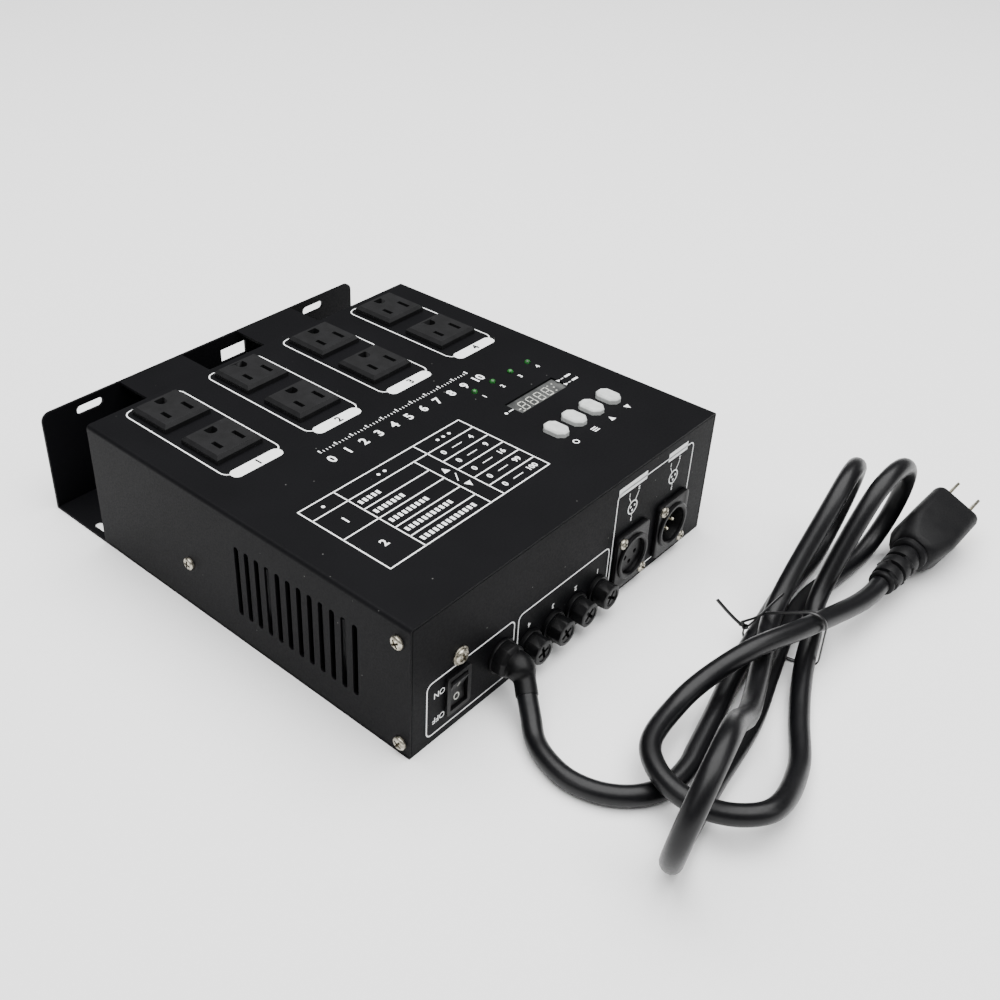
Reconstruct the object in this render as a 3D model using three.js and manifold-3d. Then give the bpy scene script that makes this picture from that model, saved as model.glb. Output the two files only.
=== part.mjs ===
// Four channel dimmer pack: folded steel case with grounded outlets, control panel and supply cord
// Millimetres, +Z up, X along the front, Y from the front to the rear
import * as THREE from 'three';
import { mergeVertices } from 'three/addons/utils/BufferGeometryUtils.js';
import Module from 'manifold-3d';

const wasm = await Module();
wasm.setup();

// Case
const caseWidth = 220;
const caseDepth = 212;
const caseHeight = 70;
const sheet = 1.2;
const foldRadius = 2;
const clearance = 0.3;
const overrun = 2;
const innerX = caseWidth / 2 - sheet;
const frontY = -caseDepth / 2;
const rearY = caseDepth / 2;
const frontInner = frontY + sheet;
const rearInner = rearY - sheet;
const roof = caseHeight - sheet;
const panelX = innerX - clearance;
const panelTop = roof - clearance;

// Hanging plate behind the case, folded up from the bottom sheet
const hangReach = 43.5;
const hangDrop = 12.5;
const hangHeight = caseHeight - hangDrop;
const hangCorner = 5;
const hangPlate = 1.5;
const hangRightInset = 2;
const hangRight = caseWidth / 2 - hangRightInset;
const hangTabWidth = 41;
const hangTabInsets = [68, 72];
const hangTabs = [hangTabInsets[0] - caseWidth / 2, caseWidth / 2 - hangTabInsets[1]];
const hangSlotLength = 16;
const hangSlotWidth = 5;
const hangSlotDrop = 3.7;
const hangSlotInsets = [28, 34];
const hangSlots = [hangSlotInsets[0] - caseWidth / 2, caseWidth / 2 - hangSlotInsets[1]];
const clampHoleWidth = 18;
const clampHoleHeight = 8;
const clampHoleInset = 96;
const clampHoleX = caseWidth / 2 - clampHoleInset;
const clampHoleDrop = 7.5;
const clampHoleTop = hangHeight - clampHoleDrop;
const floorSlotLength = 11;
const floorSlotInset = 6;
const floorSlotBehind = 10.5;
const hangY = rearY + hangReach;

// Vents in both sides
const ventCount = 12;
const ventPitch = 6.65;
const ventWidth = 3;
const ventHeight = 38.4;
const ventMiddleYShare = -0.184;
const ventMiddleY = caseDepth * ventMiddleYShare;
const ventMiddleZShare = 0.5043;
const ventMiddleZ = caseHeight * ventMiddleZShare;

// Cover screws: place along the side and height
const screwHead = 6.4;
const screwHeadHeight = 2;
const screwShank = 3;
const screwLength = 6;
const upperScrewInset = 6.5;
const upperScrewDrop = 9.5;
const lowerScrewInset = 5;
const lowerScrewZ = 6.6;
const rearScrewShare = 0.3142;
const rearScrewZ = 26.2;
const coverScrews = [
  [frontY + upperScrewInset, caseHeight - upperScrewDrop],
  [frontY + lowerScrewInset, lowerScrewZ],
  [rearY * rearScrewShare, rearScrewZ],
];
const flangeWidth = 12;
const earWidth = 16;
const earAbove = 6;

// Outlets: two rows of four
const outletColumns = 4;
const outletLeftInset = 34.9;
const outletRightInset = 32.6;
const outletRearInset = 20.8;
const outletPitchY = 38.3;
const outletPitchX = (caseWidth - outletLeftInset - outletRightInset) / (outletColumns - 1);
const outletMiddleX = (outletLeftInset - outletRightInset) / 2;
const outletMiddleY = rearY - outletRearInset - outletPitchY / 2;
const outletFaceX = 27;
const outletFaceY = 26.4;
const outletStand = 4;
const outletBevel = 1.6;
const outletBodyX = 24.4;
const outletBodyY = 23.6;
const outletBodyDepth = 21;
const outletCavity = 12;
const bladeSpacing = 12.7;
const bladeShift = 4.6;
const bladeSlotWidth = 2.4;
const liveSlotLength = 6.6;
const neutralSlotLength = 8.1;
const groundOffset = 11.9;
const groundHole = 5.2;

// Control panel in the roof: its rows take shares of the room between the front and the outlets
const controlRoom = outletMiddleY - outletPitchY / 2 - outletFaceY / 2 - frontY;
const keyPitch = 14.2;
const keyInset = 46.5;
const keyMiddleX = caseWidth / 2 - keyInset;
const keyCount = 4;
const ledRowShare = 0.7029;
const ledRowY = frontY + controlRoom * ledRowShare;
const ledDiameter = 3;
const ledFlange = 3.8;
const ledFlangeHeight = 1;
const ledStand = 1.6;
const buttonRowShare = 0.3307;
const buttonRowY = frontY + controlRoom * buttonRowShare;
const buttonShift = 1;
const buttonAcross = 9;
const buttonLength = 13;
const buttonCorner = 2.8;
const buttonStand = 2.8;
const buttonChamfer = 1;
const buttonTravel = 0.4;
const buttonMargin = 1;
const buttonFlangeHeight = 1;
const switchAcross = 6;
const switchHeight = 3.2;
const windowInset = 48;
const windowX = caseWidth / 2 - windowInset;
const windowRowShare = 0.5282;
const windowY = frontY + controlRoom * windowRowShare;
const windowWidth = 37.8;
const windowDepth = 11.4;
const windowLip = 2.2;
const windowLipHeight = 1;
const moduleWidth = 40;
const moduleDepth = 14;
const boardThickness = 1.6;
const controlBoardDrop = 9.5;
const controlBoardWidth = 71;
const controlBoardShares = [0.2577, 0.7517];
const controlBoardFront = frontY + controlRoom * controlBoardShares[0];
const controlBoardRear = frontY + controlRoom * controlBoardShares[1];
const boardPost = 5;
const boardPostInset = 4;

// Power switch
const rockerZ = 20;
const rockerFrameWidth = 15;
const rockerFrameHeight = 21;
const rockerFrameStand = 1.6;
const rockerBodyWidth = 13;
const rockerBodyHeight = 19;
const rockerBodyDepth = 15;
const rockerWidth = 10;
const rockerHalfHeight = 7.8;
const rockerCentreStand = 2.2;
const rockerTipStand = 4;
const rockerBack = 5;
const rockerTilt = 8;
const rockerPocketDepth = 10;
const rockerPivot = 2.5;
const rockerPivotDepth = 1.2;

// Fuse holders
const fuseCount = 4;
const fusePitch = 17;
const fuseZ = 13.3;
const fuseFlange = 15.4;
const fuseFlangeHeight = 2.2;
const fuseTube = 12;
const fuseTubeLength = 34;
const fuseBore = 9.4;
const fuseBoreDepth = 32;
const fuseCap = 12.8;
const fuseCapLength = 7.2;
const fuseCapEdge = 1;
const fuseCapSlot = 1.6;
const fuseCapSlotDepth = 1.5;
const fuseStem = 8.6;
const fuseStemLength = 9;
const glassFuse = 5.2;
const glassFuseLength = 20;
const glassFuseFerrule = 5;
const glassTube = 4.8;
const frontReach = fuseFlangeHeight + fuseCapLength;

// Control connectors
const xlrZ = 20.4;
const xlrFlangeWidth = 26;
const xlrFlangeHeight = 31;
const xlrFlangeThickness = 2.4;
const xlrCorner = 3;
const xlrBarrel = 23.4;
const xlrBarrelDepth = 21;
const xlrMouth = 19;
const xlrMouthDepth = 16;
const xlrInsertDepth = 8;
const xlrOutRecess = 1.2;
const xlrPinCircle = 4.05;
const xlrPin = 2.4;
const xlrPinLength = 9;
const xlrSocket = 2.6;
const xlrSocketDepth = 5;
const xlrScrewX = 9.5;
const xlrScrewZ = 12;
const xlrScrewHead = 5.4;
const xlrScrewHeight = 1.6;

// Ground terminal screw
const groundScrewZ = 37.8;
const groundScrewHead = 7.4;
const groundScrewHeight = 2.6;
const groundScrewShank = 3.6;
const groundScrewLength = 10;
const groundWasher = 9;
const groundWasherHeight = 0.8;

// Supply cord
const cordDiameter = 9;
const cordSides = 10;
const hankSides = 6;
const foldBend = 27.5;
const openLoopBend = 29.5;
const collarWidth = 17;
const collarLength = 8;
const collarEdge = 1.5;
const collarBarrel = 11;
const collarBarrelDepth = 12;
const sleeveStart = 13;
const sleeveEnd = 10.8;
const sleeveSides = 12;
const leadSteps = 12;
const sleeveRoute = [[-53, -113.5, 19.5], [-53, -116.5, 19.2], [-54.5, -120.5, 16.4], [-58.6, -125.7, 12.6]];
const leadRoute = [
  [-58.76, -125.9, 12.45], [-63.6, -132.05, 7.97], [-69.3, -138.6, 5], [-74, -147, 4.7],
  [-77.1, -160.9, 4.7], [-74, -174.8, 4.7], [-65.3, -186.2, 4.7], [-52.6, -192.6, 4.7],
  [-38.4, -192.9, 4.7], [-28.8, -190.8, 4.7], [-20, -188.8, 4.7],
];
const firstRun = [
  [-19.71, -188.73, 4.7], [-10.93, -186.74, 4.7], [22, -178.6, 5.2], [45, -174.6, 6.5], [60, -172.1, 6.5],
  [88.5, -167.2, 4.9],
];
const secondRun = [[59, -175.9, 17], [30, -186.5, 15.8], [-10, -201.5, 21.8]];
const thirdRun = [
  [-55, -207.8, 4.8], [-40, -205.2, 4.7], [0, -199.5, 4.8], [30, -191, 5.9], [60, -182.6, 6.5],
  [90, -177.6, 4.9], [113, -179.7, 4.9],
];
const fourthRun = [
  [80.5, -186, 13.5], [64, -193, 8.4], [48, -198.6, 5.4], [30, -206.2, 4.8], [15, -213.5, 4.8],
  [-11, -226.5, 6.8],
];
const fifthRun = [
  [-22, -175.3, 14.6], [-6, -177.5, 18.8], [17, -186.3, 27], [42, -194.3, 26], [70, -199, 20.3],
  [90, -202, 16.8], [100.7, -202.8, 15.8], [109.7, -202.8, 15.8],
];

// Folds of the hank: tip, heading, lean, first and last angle in degrees, steps, bend
const rightFold = {
  tip: [147, -165, 32.4], heading: 9, lean: 98, from: -90, to: 125, steps: 7, bend: foldBend,
};
const tailFold = {
  tip: [-96, -220.5, 32.4], heading: 193, lean: 82, from: 122, to: -90, steps: 7, bend: foldBend,
};
const outerFold = {
  tip: [163, -185, 32.4], heading: 359, lean: 97, from: -90, to: 130, steps: 7, bend: foldBend,
};
const openLoop = {
  tip: [-61, -208, 14.3], heading: 187, lean: 0, from: 60, to: -66, steps: 5, bend: openLoopBend,
};

// Plug
const plugX = 110;
const plugY = -202.8;
const plugAxisZ = 15.8;
const plugRoll = 23.6;
const plugReliefLength = 34;
const plugReliefStart = 13;
const plugReliefEnd = 17;
const plugBodyLength = 44;
const plugBodyWidth = 26;
const plugBodyHeight = 24;
const plugBodyBevel = 2.5;
const plugBodyDrop = 0.6;
const plugBladeRise = 4.4;
const plugBladeLength = 17;
const plugBladeHeight = 6.35;
const plugBladeThickness = 1.5;
const plugBladeEdge = 1.2;
const plugPin = 4.8;
const plugPinLength = 20;
const plugPinTip = 2;

// Wire tie round the hank
const tieX = 49.5;
const tieY = -183;
const tieHeading = -78;
const tieWidth = 2.4;
const tieThickness = 0.9;
const tieKnotLean = 58;
const tieTailWidth = 1.8;
// Lean in degrees and length of each end
const tieTails = [[55, 18], [-26.6, 29]];
// Strands that the tie goes round: place across it, height and reach; the knot is at the first
const tieStrands = [[-9.1, 6.5, 5.3], [-3.5, 16.6, 5.5], [2.5, 6.3, 5.2], [14.3, 6.3, 5.2], [13.2, 24, 6]];

// Places along the front panel: switch and ground screw take shares of the room left of the gland,
// the fuses follow the gland, and the connectors take shares of the room right of the fuses
const flangeX = panelX - sheet;
const glandX = sleeveRoute[0][0];
const glandToFuse = 19.6;
const switchRoom = flangeX + glandX - collarWidth / 2;
const rockerShare = 0.5633;
const groundScrewShare = 0.5939;
const rockerX = switchRoom * rockerShare - flangeX;
const groundScrewX = switchRoom * groundScrewShare - flangeX;
const fuseFirstX = glandX + glandToFuse;
const fusesEnd = fuseFirstX + (fuseCount - 1) * fusePitch + fuseFlange / 2;
const xlrOutShare = 0.2134;
const xlrInShare = 0.6354;
const xlrOutX = fusesEnd + (flangeX - fusesEnd) * xlrOutShare;
const xlrInX = fusesEnd + (flangeX - fusesEnd) * xlrInShare;

// Parts inside: power board between the heat sink and the transformer
const heatSinkGap = 3.3;
const heatSinkBase = 4;
const heatSinkWidth = 22;
const heatSinkFrontInset = 30;
const heatSinkLength = 74;
const heatSinkRoofGap = 22.8;
const heatSinkFins = 7;
const heatSinkFin = 2.4;
const transformerCore = [44, 38, 36];
const transformerWindow = [30, 48, 24];
const transformerGap = 13.3;
const transformerRearInset = 66;
const powerBoardLeftGap = 4;
const powerBoardRightGap = 14;
const powerBoardFrontInset = 44;
const powerBoardRearInset = 14;
const powerBoardHeight = 9;
const chokeOuter = 24;
const chokeInner = 10;
const chokeHeight = 14;
const chokeRowInset = 62;
const triacWidth = 10;
const triacThickness = 4.5;
const triacHeight = 20;
const triacRowInset = 8;
const heatSinkLeft = heatSinkGap - flangeX;
const heatSinkFront = frontY + heatSinkFrontInset;
const heatSinkRear = heatSinkFront + heatSinkLength;
const heatSinkHeight = roof - heatSinkRoofGap;
const transformerX = flangeX - transformerGap - transformerCore[0] / 2;
const transformerY = rearY - transformerRearInset;
const powerBoardLeft = heatSinkLeft + heatSinkWidth + powerBoardLeftGap;
const powerBoardRight = transformerX - transformerCore[0] / 2 - powerBoardRightGap;
const powerBoardFront = frontY + powerBoardFrontInset;
const powerBoardRear = rearY - powerBoardRearInset;
const chokeRowY = powerBoardRear - chokeRowInset;
const triacRowX = powerBoardLeft + triacRowInset;

// Supply wire: its places from the back of the switch, from the left flange, front and roof,
// and from the board
const wireDiameter = 2.6;
const wireSides = 8;
const wireSteps = 24;
const wireFromSwitch = [[-2.5, 1.6, 6], [-3, 6.5, 9]];
const wireUnderRoof = [[15.3, 25.5, 24.8], [8.3, 27, 16.3], [14.3, 35, 11.3], [25.3, 44, 18.8]];
const wireToBoard = [[2.5, 4, 19.4], [2.5, 4, 3.4]];
const boardTop = powerBoardHeight + boardThickness;
const wireRoute = [
  ...wireFromSwitch.map(([x, y, z]) => [rockerX + x, frontY + rockerBodyDepth + y, rockerZ + z]),
  ...wireUnderRoof.map(([x, y, z]) => [x - flangeX, frontY + y, roof - z]),
  ...wireToBoard.map(([x, y, z]) => [powerBoardLeft + x, powerBoardFront + y, boardTop + z]),
];

// Helpers
function closed(geometry) {
  const bare = geometry.index ? geometry.toNonIndexed() : geometry.clone();
  bare.deleteAttribute('normal');
  bare.deleteAttribute('uv');
  return mergeVertices(bare, 1e-4);
}

function solid(geometry) {
  const bare = closed(geometry);
  const vertProperties = new Float32Array(bare.attributes.position.array);
  const triVerts = new Uint32Array(bare.index.array);
  return new wasm.Manifold(new wasm.Mesh({ numProp: 3, vertProperties, triVerts }));
}

function geometryOf(manifold) {
  const mesh = manifold.getMesh();
  const geometry = new THREE.BufferGeometry();
  geometry.setAttribute('position', new THREE.BufferAttribute(new Float32Array(mesh.vertProperties), 3));
  geometry.setIndex(new THREE.BufferAttribute(new Uint32Array(mesh.triVerts), 1));
  return geometry;
}

function joined(...geometries) {
  let result = solid(geometries[0]);
  for (const geometry of geometries.slice(1)) {
    result = result.add(solid(geometry));
  }
  return geometryOf(result);
}

function cut(geometry, ...tools) {
  let result = solid(geometry);
  for (const tool of tools) {
    result = result.subtract(solid(tool));
  }
  return geometryOf(result);
}

// A block between two corners
function block(x0, y0, z0, x1, y1, z1) {
  const geometry = new THREE.BoxGeometry(x1 - x0, y1 - y0, z1 - z0);
  return geometry.translate((x0 + x1) / 2, (y0 + y1) / 2, (z0 + z1) / 2);
}

// A rectangle with round corners, or a slot where the corner is half its height
function roundedShape(width, height, corner) {
  const shape = new THREE.Shape();
  const x = width / 2 - corner;
  const y = height / 2 - corner;
  shape.absarc(x, -y, corner, -Math.PI / 2, 0);
  shape.absarc(x, y, corner, 0, Math.PI / 2);
  shape.absarc(-x, y, corner, Math.PI / 2, Math.PI);
  shape.absarc(-x, -y, corner, Math.PI, Math.PI * 3 / 2);
  return shape;
}

function slab(shape, depth, curveSegments = 4) {
  return new THREE.ExtrudeGeometry(shape, { depth, curveSegments, bevelEnabled: false });
}

// A slab whose outline faces the front: its thickness runs from y towards the rear
function frontSlab(shape, depth, x, y, z, curveSegments = 4) {
  return slab(shape, depth, curveSegments).rotateX(Math.PI / 2).translate(x, y + depth, z);
}

// A turned piece: pairs of radius and distance along the axis, both ends on the axis
function turned(profile, sides = 16) {
  return new THREE.LatheGeometry(profile.map(([r, d]) => new THREE.Vector2(r, d)), sides);
}

// A rod along +Y from the given place
function rodY(diameter, length, x, y, z, sides = 16) {
  const geometry = new THREE.CylinderGeometry(diameter / 2, diameter / 2, length, sides);
  return geometry.translate(x, y + length / 2, z);
}

function rodZ(diameter, length, x, y, z, sides = 16) {
  const geometry = new THREE.CylinderGeometry(diameter / 2, diameter / 2, length, sides);
  return geometry.rotateX(Math.PI / 2).translate(x, y, z + length / 2);
}

function vectors(points) {
  return points.map((p) => new THREE.Vector3(...p));
}

function smooth(points) {
  return new THREE.CatmullRomCurve3(vectors(points), false, 'centripetal');
}

// One unbroken tube through ring centres, with a diameter for each ring
function tubeThrough(centres, directions, diameters, sides) {
  const count = centres.length;
  const vertices = [];
  const faces = [];
  let side = new THREE.Vector3(0, 0, 1).cross(directions[0]).normalize();
  for (let i = 0; i < count; i += 1) {
    const along = directions[i];
    side = side.clone().addScaledVector(along, -side.dot(along)).normalize();
    const up = along.clone().cross(side);
    for (let k = 0; k < sides; k += 1) {
      const angle = (k + 1 / 2) * 2 * Math.PI / sides;
      const point = centres[i].clone().addScaledVector(side, Math.cos(angle) * diameters[i] / 2);
      point.addScaledVector(up, Math.sin(angle) * diameters[i] / 2);
      vertices.push(...point.toArray());
    }
  }
  for (let i = 0; i + 1 < count; i += 1) {
    for (let k = 0; k < sides; k += 1) {
      const a = i * sides + k;
      const b = i * sides + (k + 1) % sides;
      faces.push(a, b, b + sides, a, b + sides, a + sides);
    }
  }
  for (let k = 1; k + 1 < sides; k += 1) {
    const last = (count - 1) * sides;
    faces.push(0, k + 1, k, last, last + k, last + k + 1);
  }
  const geometry = new THREE.BufferGeometry();
  geometry.setAttribute('position', new THREE.Float32BufferAttribute(vertices, 3));
  geometry.setIndex(faces);
  return geometry;
}

const model = new THREE.Group();
// The origin is on the floor, below the middle of the rigid pack
model.position.set(0, -(hangReach - frontReach) / 2, 0);

function add(name, geometry, material) {
  const mesh = new THREE.Mesh(geometry, material.clone());
  mesh.name = name;
  model.add(mesh);
  return mesh;
}

function finish(color, roughness, metalness) {
  return new THREE.MeshStandardMaterial({ color, roughness, metalness });
}

const powderCoat = finish('#26272a', 0.55, 0.3);
const blackPlastic = finish('#1b1c1e', 0.45, 0);
const outletPlastic = finish('#2c2d30', 0.5, 0);
const greyPlastic = finish('#b9bcbf', 0.45, 0);
const nickel = finish('#b4ae9c', 0.3, 1);
const brass = finish('#c9a24b', 0.3, 1);
const rubber = finish('#141415', 0.6, 0);
const greenLens = finish('#5f8f5a', 0.25, 0);
const tinted = finish('#8d9096', 0.2, 0);
const boardGreen = finish('#1f5b38', 0.5, 0);
const aluminium = finish('#a9adb2', 0.4, 1);
const laminations = finish('#55504a', 0.5, 0.6);
const glass = finish('#dfe7ea', 0.1, 0);
const redWire = finish('#a31d1d', 0.5, 0);

const outletsX = [];
for (let i = 0; i < outletColumns; i += 1) {
  outletsX.push(outletMiddleX + (i - (outletColumns - 1) / 2) * outletPitchX);
}
const outletsY = [outletMiddleY - outletPitchY / 2, outletMiddleY + outletPitchY / 2];
const keysX = [];
for (let i = 0; i < keyCount; i += 1) {
  keysX.push(keyMiddleX + (i - (keyCount - 1) / 2) * keyPitch);
}
const buttonsX = keysX.map((x) => x - buttonShift);
const fusesX = [];
for (let i = 0; i < fuseCount; i += 1) {
  fusesX.push(fuseFirstX + i * fusePitch);
}

// Folded cover: roof and both sides
function topCover() {
  const half = caseWidth / 2;
  const foot = sheet + clearance;
  const profile = new THREE.Shape();
  profile.moveTo(-half, foot);
  profile.lineTo(-innerX, foot);
  profile.lineTo(-innerX, roof);
  profile.lineTo(innerX, roof);
  profile.lineTo(innerX, foot);
  profile.lineTo(half, foot);
  profile.absarc(half - foldRadius, caseHeight - foldRadius, foldRadius, 0, Math.PI / 2);
  profile.absarc(foldRadius - half, caseHeight - foldRadius, foldRadius, Math.PI / 2, Math.PI);
  const tools = [];
  for (const side of [-1, 1]) {
    const start = side < 0 ? -half - overrun : innerX - overrun;
    const reach = sheet + 2 * overrun;
    for (let i = 0; i < ventCount; i += 1) {
      const y = ventMiddleY + (i - (ventCount - 1) / 2) * ventPitch;
      const vent = slab(roundedShape(ventWidth, ventHeight, ventWidth / 2), reach, 3);
      tools.push(vent.rotateX(Math.PI / 2).rotateZ(Math.PI / 2).translate(start, y, ventMiddleZ));
    }
    for (const [y, z] of coverScrews) {
      const hole = rodZ(screwShank + 2 * clearance, reach, 0, 0, 0, 12).rotateY(Math.PI / 2);
      tools.push(hole.translate(start, y, z));
    }
  }
  for (const x of outletsX) {
    for (const y of outletsY) {
      const halfX = outletBodyX / 2 + clearance;
      const halfY = outletBodyY / 2 + clearance;
      tools.push(block(x - halfX, y - halfY, roof - overrun, x + halfX, y + halfY, caseHeight + overrun));
    }
  }
  const through = sheet + 2 * overrun;
  for (const x of keysX) {
    tools.push(rodZ(ledDiameter + 2 * clearance, through, x, ledRowY, roof - overrun, 12));
  }
  for (const x of buttonsX) {
    const opening = cutRectangle(buttonAcross + 2 * clearance, buttonLength + 2 * clearance, buttonCorner);
    tools.push(slab(opening, through).translate(x, buttonRowY, roof - overrun));
  }
  const windowHalfX = windowWidth / 2;
  const windowHalfY = windowDepth / 2;
  tools.push(block(windowX - windowHalfX, windowY - windowHalfY, roof - overrun,
    windowX + windowHalfX, windowY + windowHalfY, caseHeight + overrun));
  const cover = slab(profile, caseDepth, 3).rotateX(Math.PI / 2).translate(0, rearY, 0);
  return cut(cover, ...tools);
}

// A rectangle with its corners cut off
function cutRectangle(width, length, corner) {
  const x = width / 2;
  const y = length / 2;
  const outline = [
    [corner - x, -y], [x - corner, -y], [x, corner - y], [x, y - corner],
    [x - corner, y], [corner - x, y], [-x, y - corner], [-x, corner - y],
  ];
  return new THREE.Shape(outline.map(([a, b]) => new THREE.Vector2(a, b)));
}

// Bottom, front panel and hanging plate, one folded sheet
function basePan() {
  const half = caseWidth / 2;
  const parts = [
    block(-half, frontY, 0, half, hangY, sheet),
    block(-panelX, frontY, 0, panelX, frontInner, panelTop),
  ];
  for (const side of [-1, 1]) {
    const outer = side * panelX;
    const inner = side * (panelX - sheet);
    const left = Math.min(outer, inner);
    const right = Math.max(outer, inner);
    parts.push(block(left, frontY, 0, right, frontY + flangeWidth, panelTop));
    const [earY, earZ] = coverScrews[2];
    parts.push(block(left, earY - earWidth / 2, 0, right, earY + earWidth / 2, earZ + earAbove));
  }
  const plateWidth = half + hangRight;
  const plateMiddle = (hangRight - half) / 2;
  const plateShape = roundedShape(plateWidth, hangHeight, hangCorner);
  const plateFrom = hangY - hangPlate;
  parts.push(frontSlab(plateShape, hangPlate, plateMiddle, plateFrom, hangHeight / 2));
  parts.push(block(-half, plateFrom, 0, hangRight, hangY, hangHeight / 2));
  for (const x of hangTabs) {
    const from = x - hangTabWidth / 2;
    const to = from + hangTabWidth;
    parts.push(block(from, rearY + clearance, hangHeight - hangPlate, to, hangY, hangHeight));
  }
  const tools = [];
  const reach = hangPlate + 2 * overrun;
  for (const x of hangSlots) {
    const slot = roundedShape(hangSlotLength, hangSlotWidth, hangSlotWidth / 2);
    tools.push(frontSlab(slot, reach, x, plateFrom - overrun, hangHeight - hangSlotDrop - hangSlotWidth / 2));
  }
  tools.push(block(clampHoleX - clampHoleWidth / 2, plateFrom - overrun, clampHoleTop - clampHoleHeight,
    clampHoleX + clampHoleWidth / 2, hangY + overrun, clampHoleTop));
  for (const side of [-1, 1]) {
    const slot = slab(roundedShape(hangSlotWidth, floorSlotLength, hangSlotWidth / 2), sheet + 2 * overrun);
    tools.push(slot.translate(side * (half - floorSlotInset), rearY + floorSlotBehind, -overrun));
    for (const [y, z] of coverScrews) {
      const hole = rodZ(screwShank + 2 * clearance, sheet + 2 * overrun, 0, 0, 0, 12).rotateY(Math.PI / 2);
      const start = side < 0 ? -panelX - overrun : panelX - sheet - overrun;
      tools.push(hole.translate(start, y, z));
    }
  }
  const through = sheet + 2 * overrun;
  const behind = frontY - overrun;
  const rockerHoleX = rockerBodyWidth / 2 + clearance;
  const rockerHoleZ = rockerBodyHeight / 2 + clearance;
  tools.push(block(rockerX - rockerHoleX, behind, rockerZ - rockerHoleZ,
    rockerX + rockerHoleX, behind + through, rockerZ + rockerHoleZ));
  for (const x of fusesX) {
    tools.push(rodY(fuseTube + 2 * clearance, through, x, behind, fuseZ));
  }
  for (const x of [xlrOutX, xlrInX]) {
    tools.push(rodY(xlrBarrel + 2 * clearance, through, x, behind, xlrZ, 24));
  }
  tools.push(rodY(groundScrewShank + 2 * clearance, through, groundScrewX, behind, groundScrewZ, 12));
  const glandZ = sleeveRoute[0][2];
  tools.push(rodY(collarBarrel + 2 * clearance, through, glandX, behind, glandZ));
  return cut(joined(...parts), ...tools);
}

// Rear wall with a foot resting on the bottom sheet
function rearPanel() {
  const foot = sheet;
  return joined(
    block(-panelX, rearInner, foot, panelX, rearY, panelTop),
    block(-panelX, rearY - flangeWidth, foot, panelX, rearY, foot + sheet),
  );
}

// A grounded outlet: bevelled face on the roof, body below it, openings for two blades and a pin. The blades'
// openings stand in front of the face's middle, the longer one on the right
function outlet() {
  const face = new THREE.Shape();
  const halfX = outletFaceX / 2;
  const halfY = outletFaceY / 2;
  const x = halfX - outletBevel;
  const y = halfY - outletBevel;
  face.moveTo(-x, -y);
  face.lineTo(x, -y);
  face.lineTo(x, y);
  face.lineTo(-x, y);
  face.closePath();
  const bevelled = new THREE.ExtrudeGeometry(face, {
    depth: outletStand - outletBevel,
    bevelEnabled: true,
    bevelThickness: outletBevel,
    bevelSize: outletBevel,
    bevelSegments: 1,
  });
  const bodyX = outletBodyX / 2;
  const bodyY = outletBodyY / 2;
  const body = block(-bodyX, -bodyY, -outletBodyDepth, bodyX, bodyY, overrun);
  const pastX = halfX + overrun;
  const pastY = halfY + overrun;
  const floor = block(-pastX, -pastY, -outletBevel - overrun, pastX, pastY, 0);
  const slotDeep = outletStand - outletCavity;
  const above = outletStand + overrun;
  const half = bladeSpacing / 2;
  const wide = bladeSlotWidth / 2;
  const openings = [
    block(-half - wide, -liveSlotLength / 2, slotDeep, wide - half, liveSlotLength / 2, above),
    block(half - wide, -neutralSlotLength / 2, slotDeep, half + wide, neutralSlotLength / 2, above),
    rodZ(groundHole, outletCavity + overrun, 0, groundOffset, slotDeep, 12),
  ].map((opening) => opening.translate(0, -bladeShift, 0));
  return cut(joined(cut(bevelled, floor), body), ...openings);
}

function screw(head, headHeight, shank, length, sides = 12) {
  return turned([
    [0, -length], [shank / 2, -length], [shank / 2, 0], [head / 2, 0],
    [head / 2, headHeight / 2], [head / 4, headHeight], [0, headHeight],
  ], sides);
}

function led() {
  const top = sheet + ledStand;
  const radius = ledDiameter / 2;
  const legs = controlBoardDrop - boardThickness;
  const rim = ledFlange / 2;
  const under = -clearance - ledFlangeHeight;
  return turned([
    [0, -legs], [radius, -legs], [radius, under], [rim, under], [rim, -clearance], [radius, -clearance],
    [radius, top - radius],
    [radius * Math.cos(Math.PI / 4), top - radius + radius * Math.sin(Math.PI / 4)], [0, top],
  ], 12);
}

// A key: a chamfered cap above its switch, with a flange that holds it under the roof
function button() {
  const foot = switchHeight + buttonTravel + clearance - controlBoardDrop + boardThickness;
  const inset = 2 * buttonChamfer;
  const corner = buttonCorner - (2 - Math.SQRT2) * buttonChamfer;
  const cap = new THREE.ExtrudeGeometry(cutRectangle(buttonAcross - inset, buttonLength - inset, corner), {
    depth: sheet + buttonStand - foot - inset,
    bevelEnabled: true,
    bevelThickness: buttonChamfer,
    bevelSize: buttonChamfer,
    bevelSegments: 1,
  });
  cap.translate(0, 0, foot + buttonChamfer);
  const margins = 2 * buttonMargin;
  const outline = cutRectangle(buttonAcross + margins, buttonLength + margins, buttonCorner);
  const flange = slab(outline, buttonFlangeHeight).translate(0, 0, -clearance - buttonFlangeHeight);
  return joined(cap, flange);
}

// Control board: board, four posts up to the roof and the switches under the buttons
function controlBoard() {
  const left = keyMiddleX - controlBoardWidth / 2;
  const right = keyMiddleX + controlBoardWidth / 2;
  const low = roof - controlBoardDrop;
  const top = low + boardThickness;
  const parts = [block(left, controlBoardFront, low, right, controlBoardRear, top)];
  for (const x of [left + boardPostInset, right - boardPostInset]) {
    for (const y of [controlBoardFront + boardPostInset, controlBoardRear - boardPostInset]) {
      parts.push(rodZ(boardPost, roof - low, x, y, low, 8));
    }
  }
  const half = switchAcross / 2;
  for (const x of buttonsX) {
    parts.push(block(x - half, buttonRowY - half, low, x + half, buttonRowY + half, top + switchHeight));
  }
  return joined(...parts);
}

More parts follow.
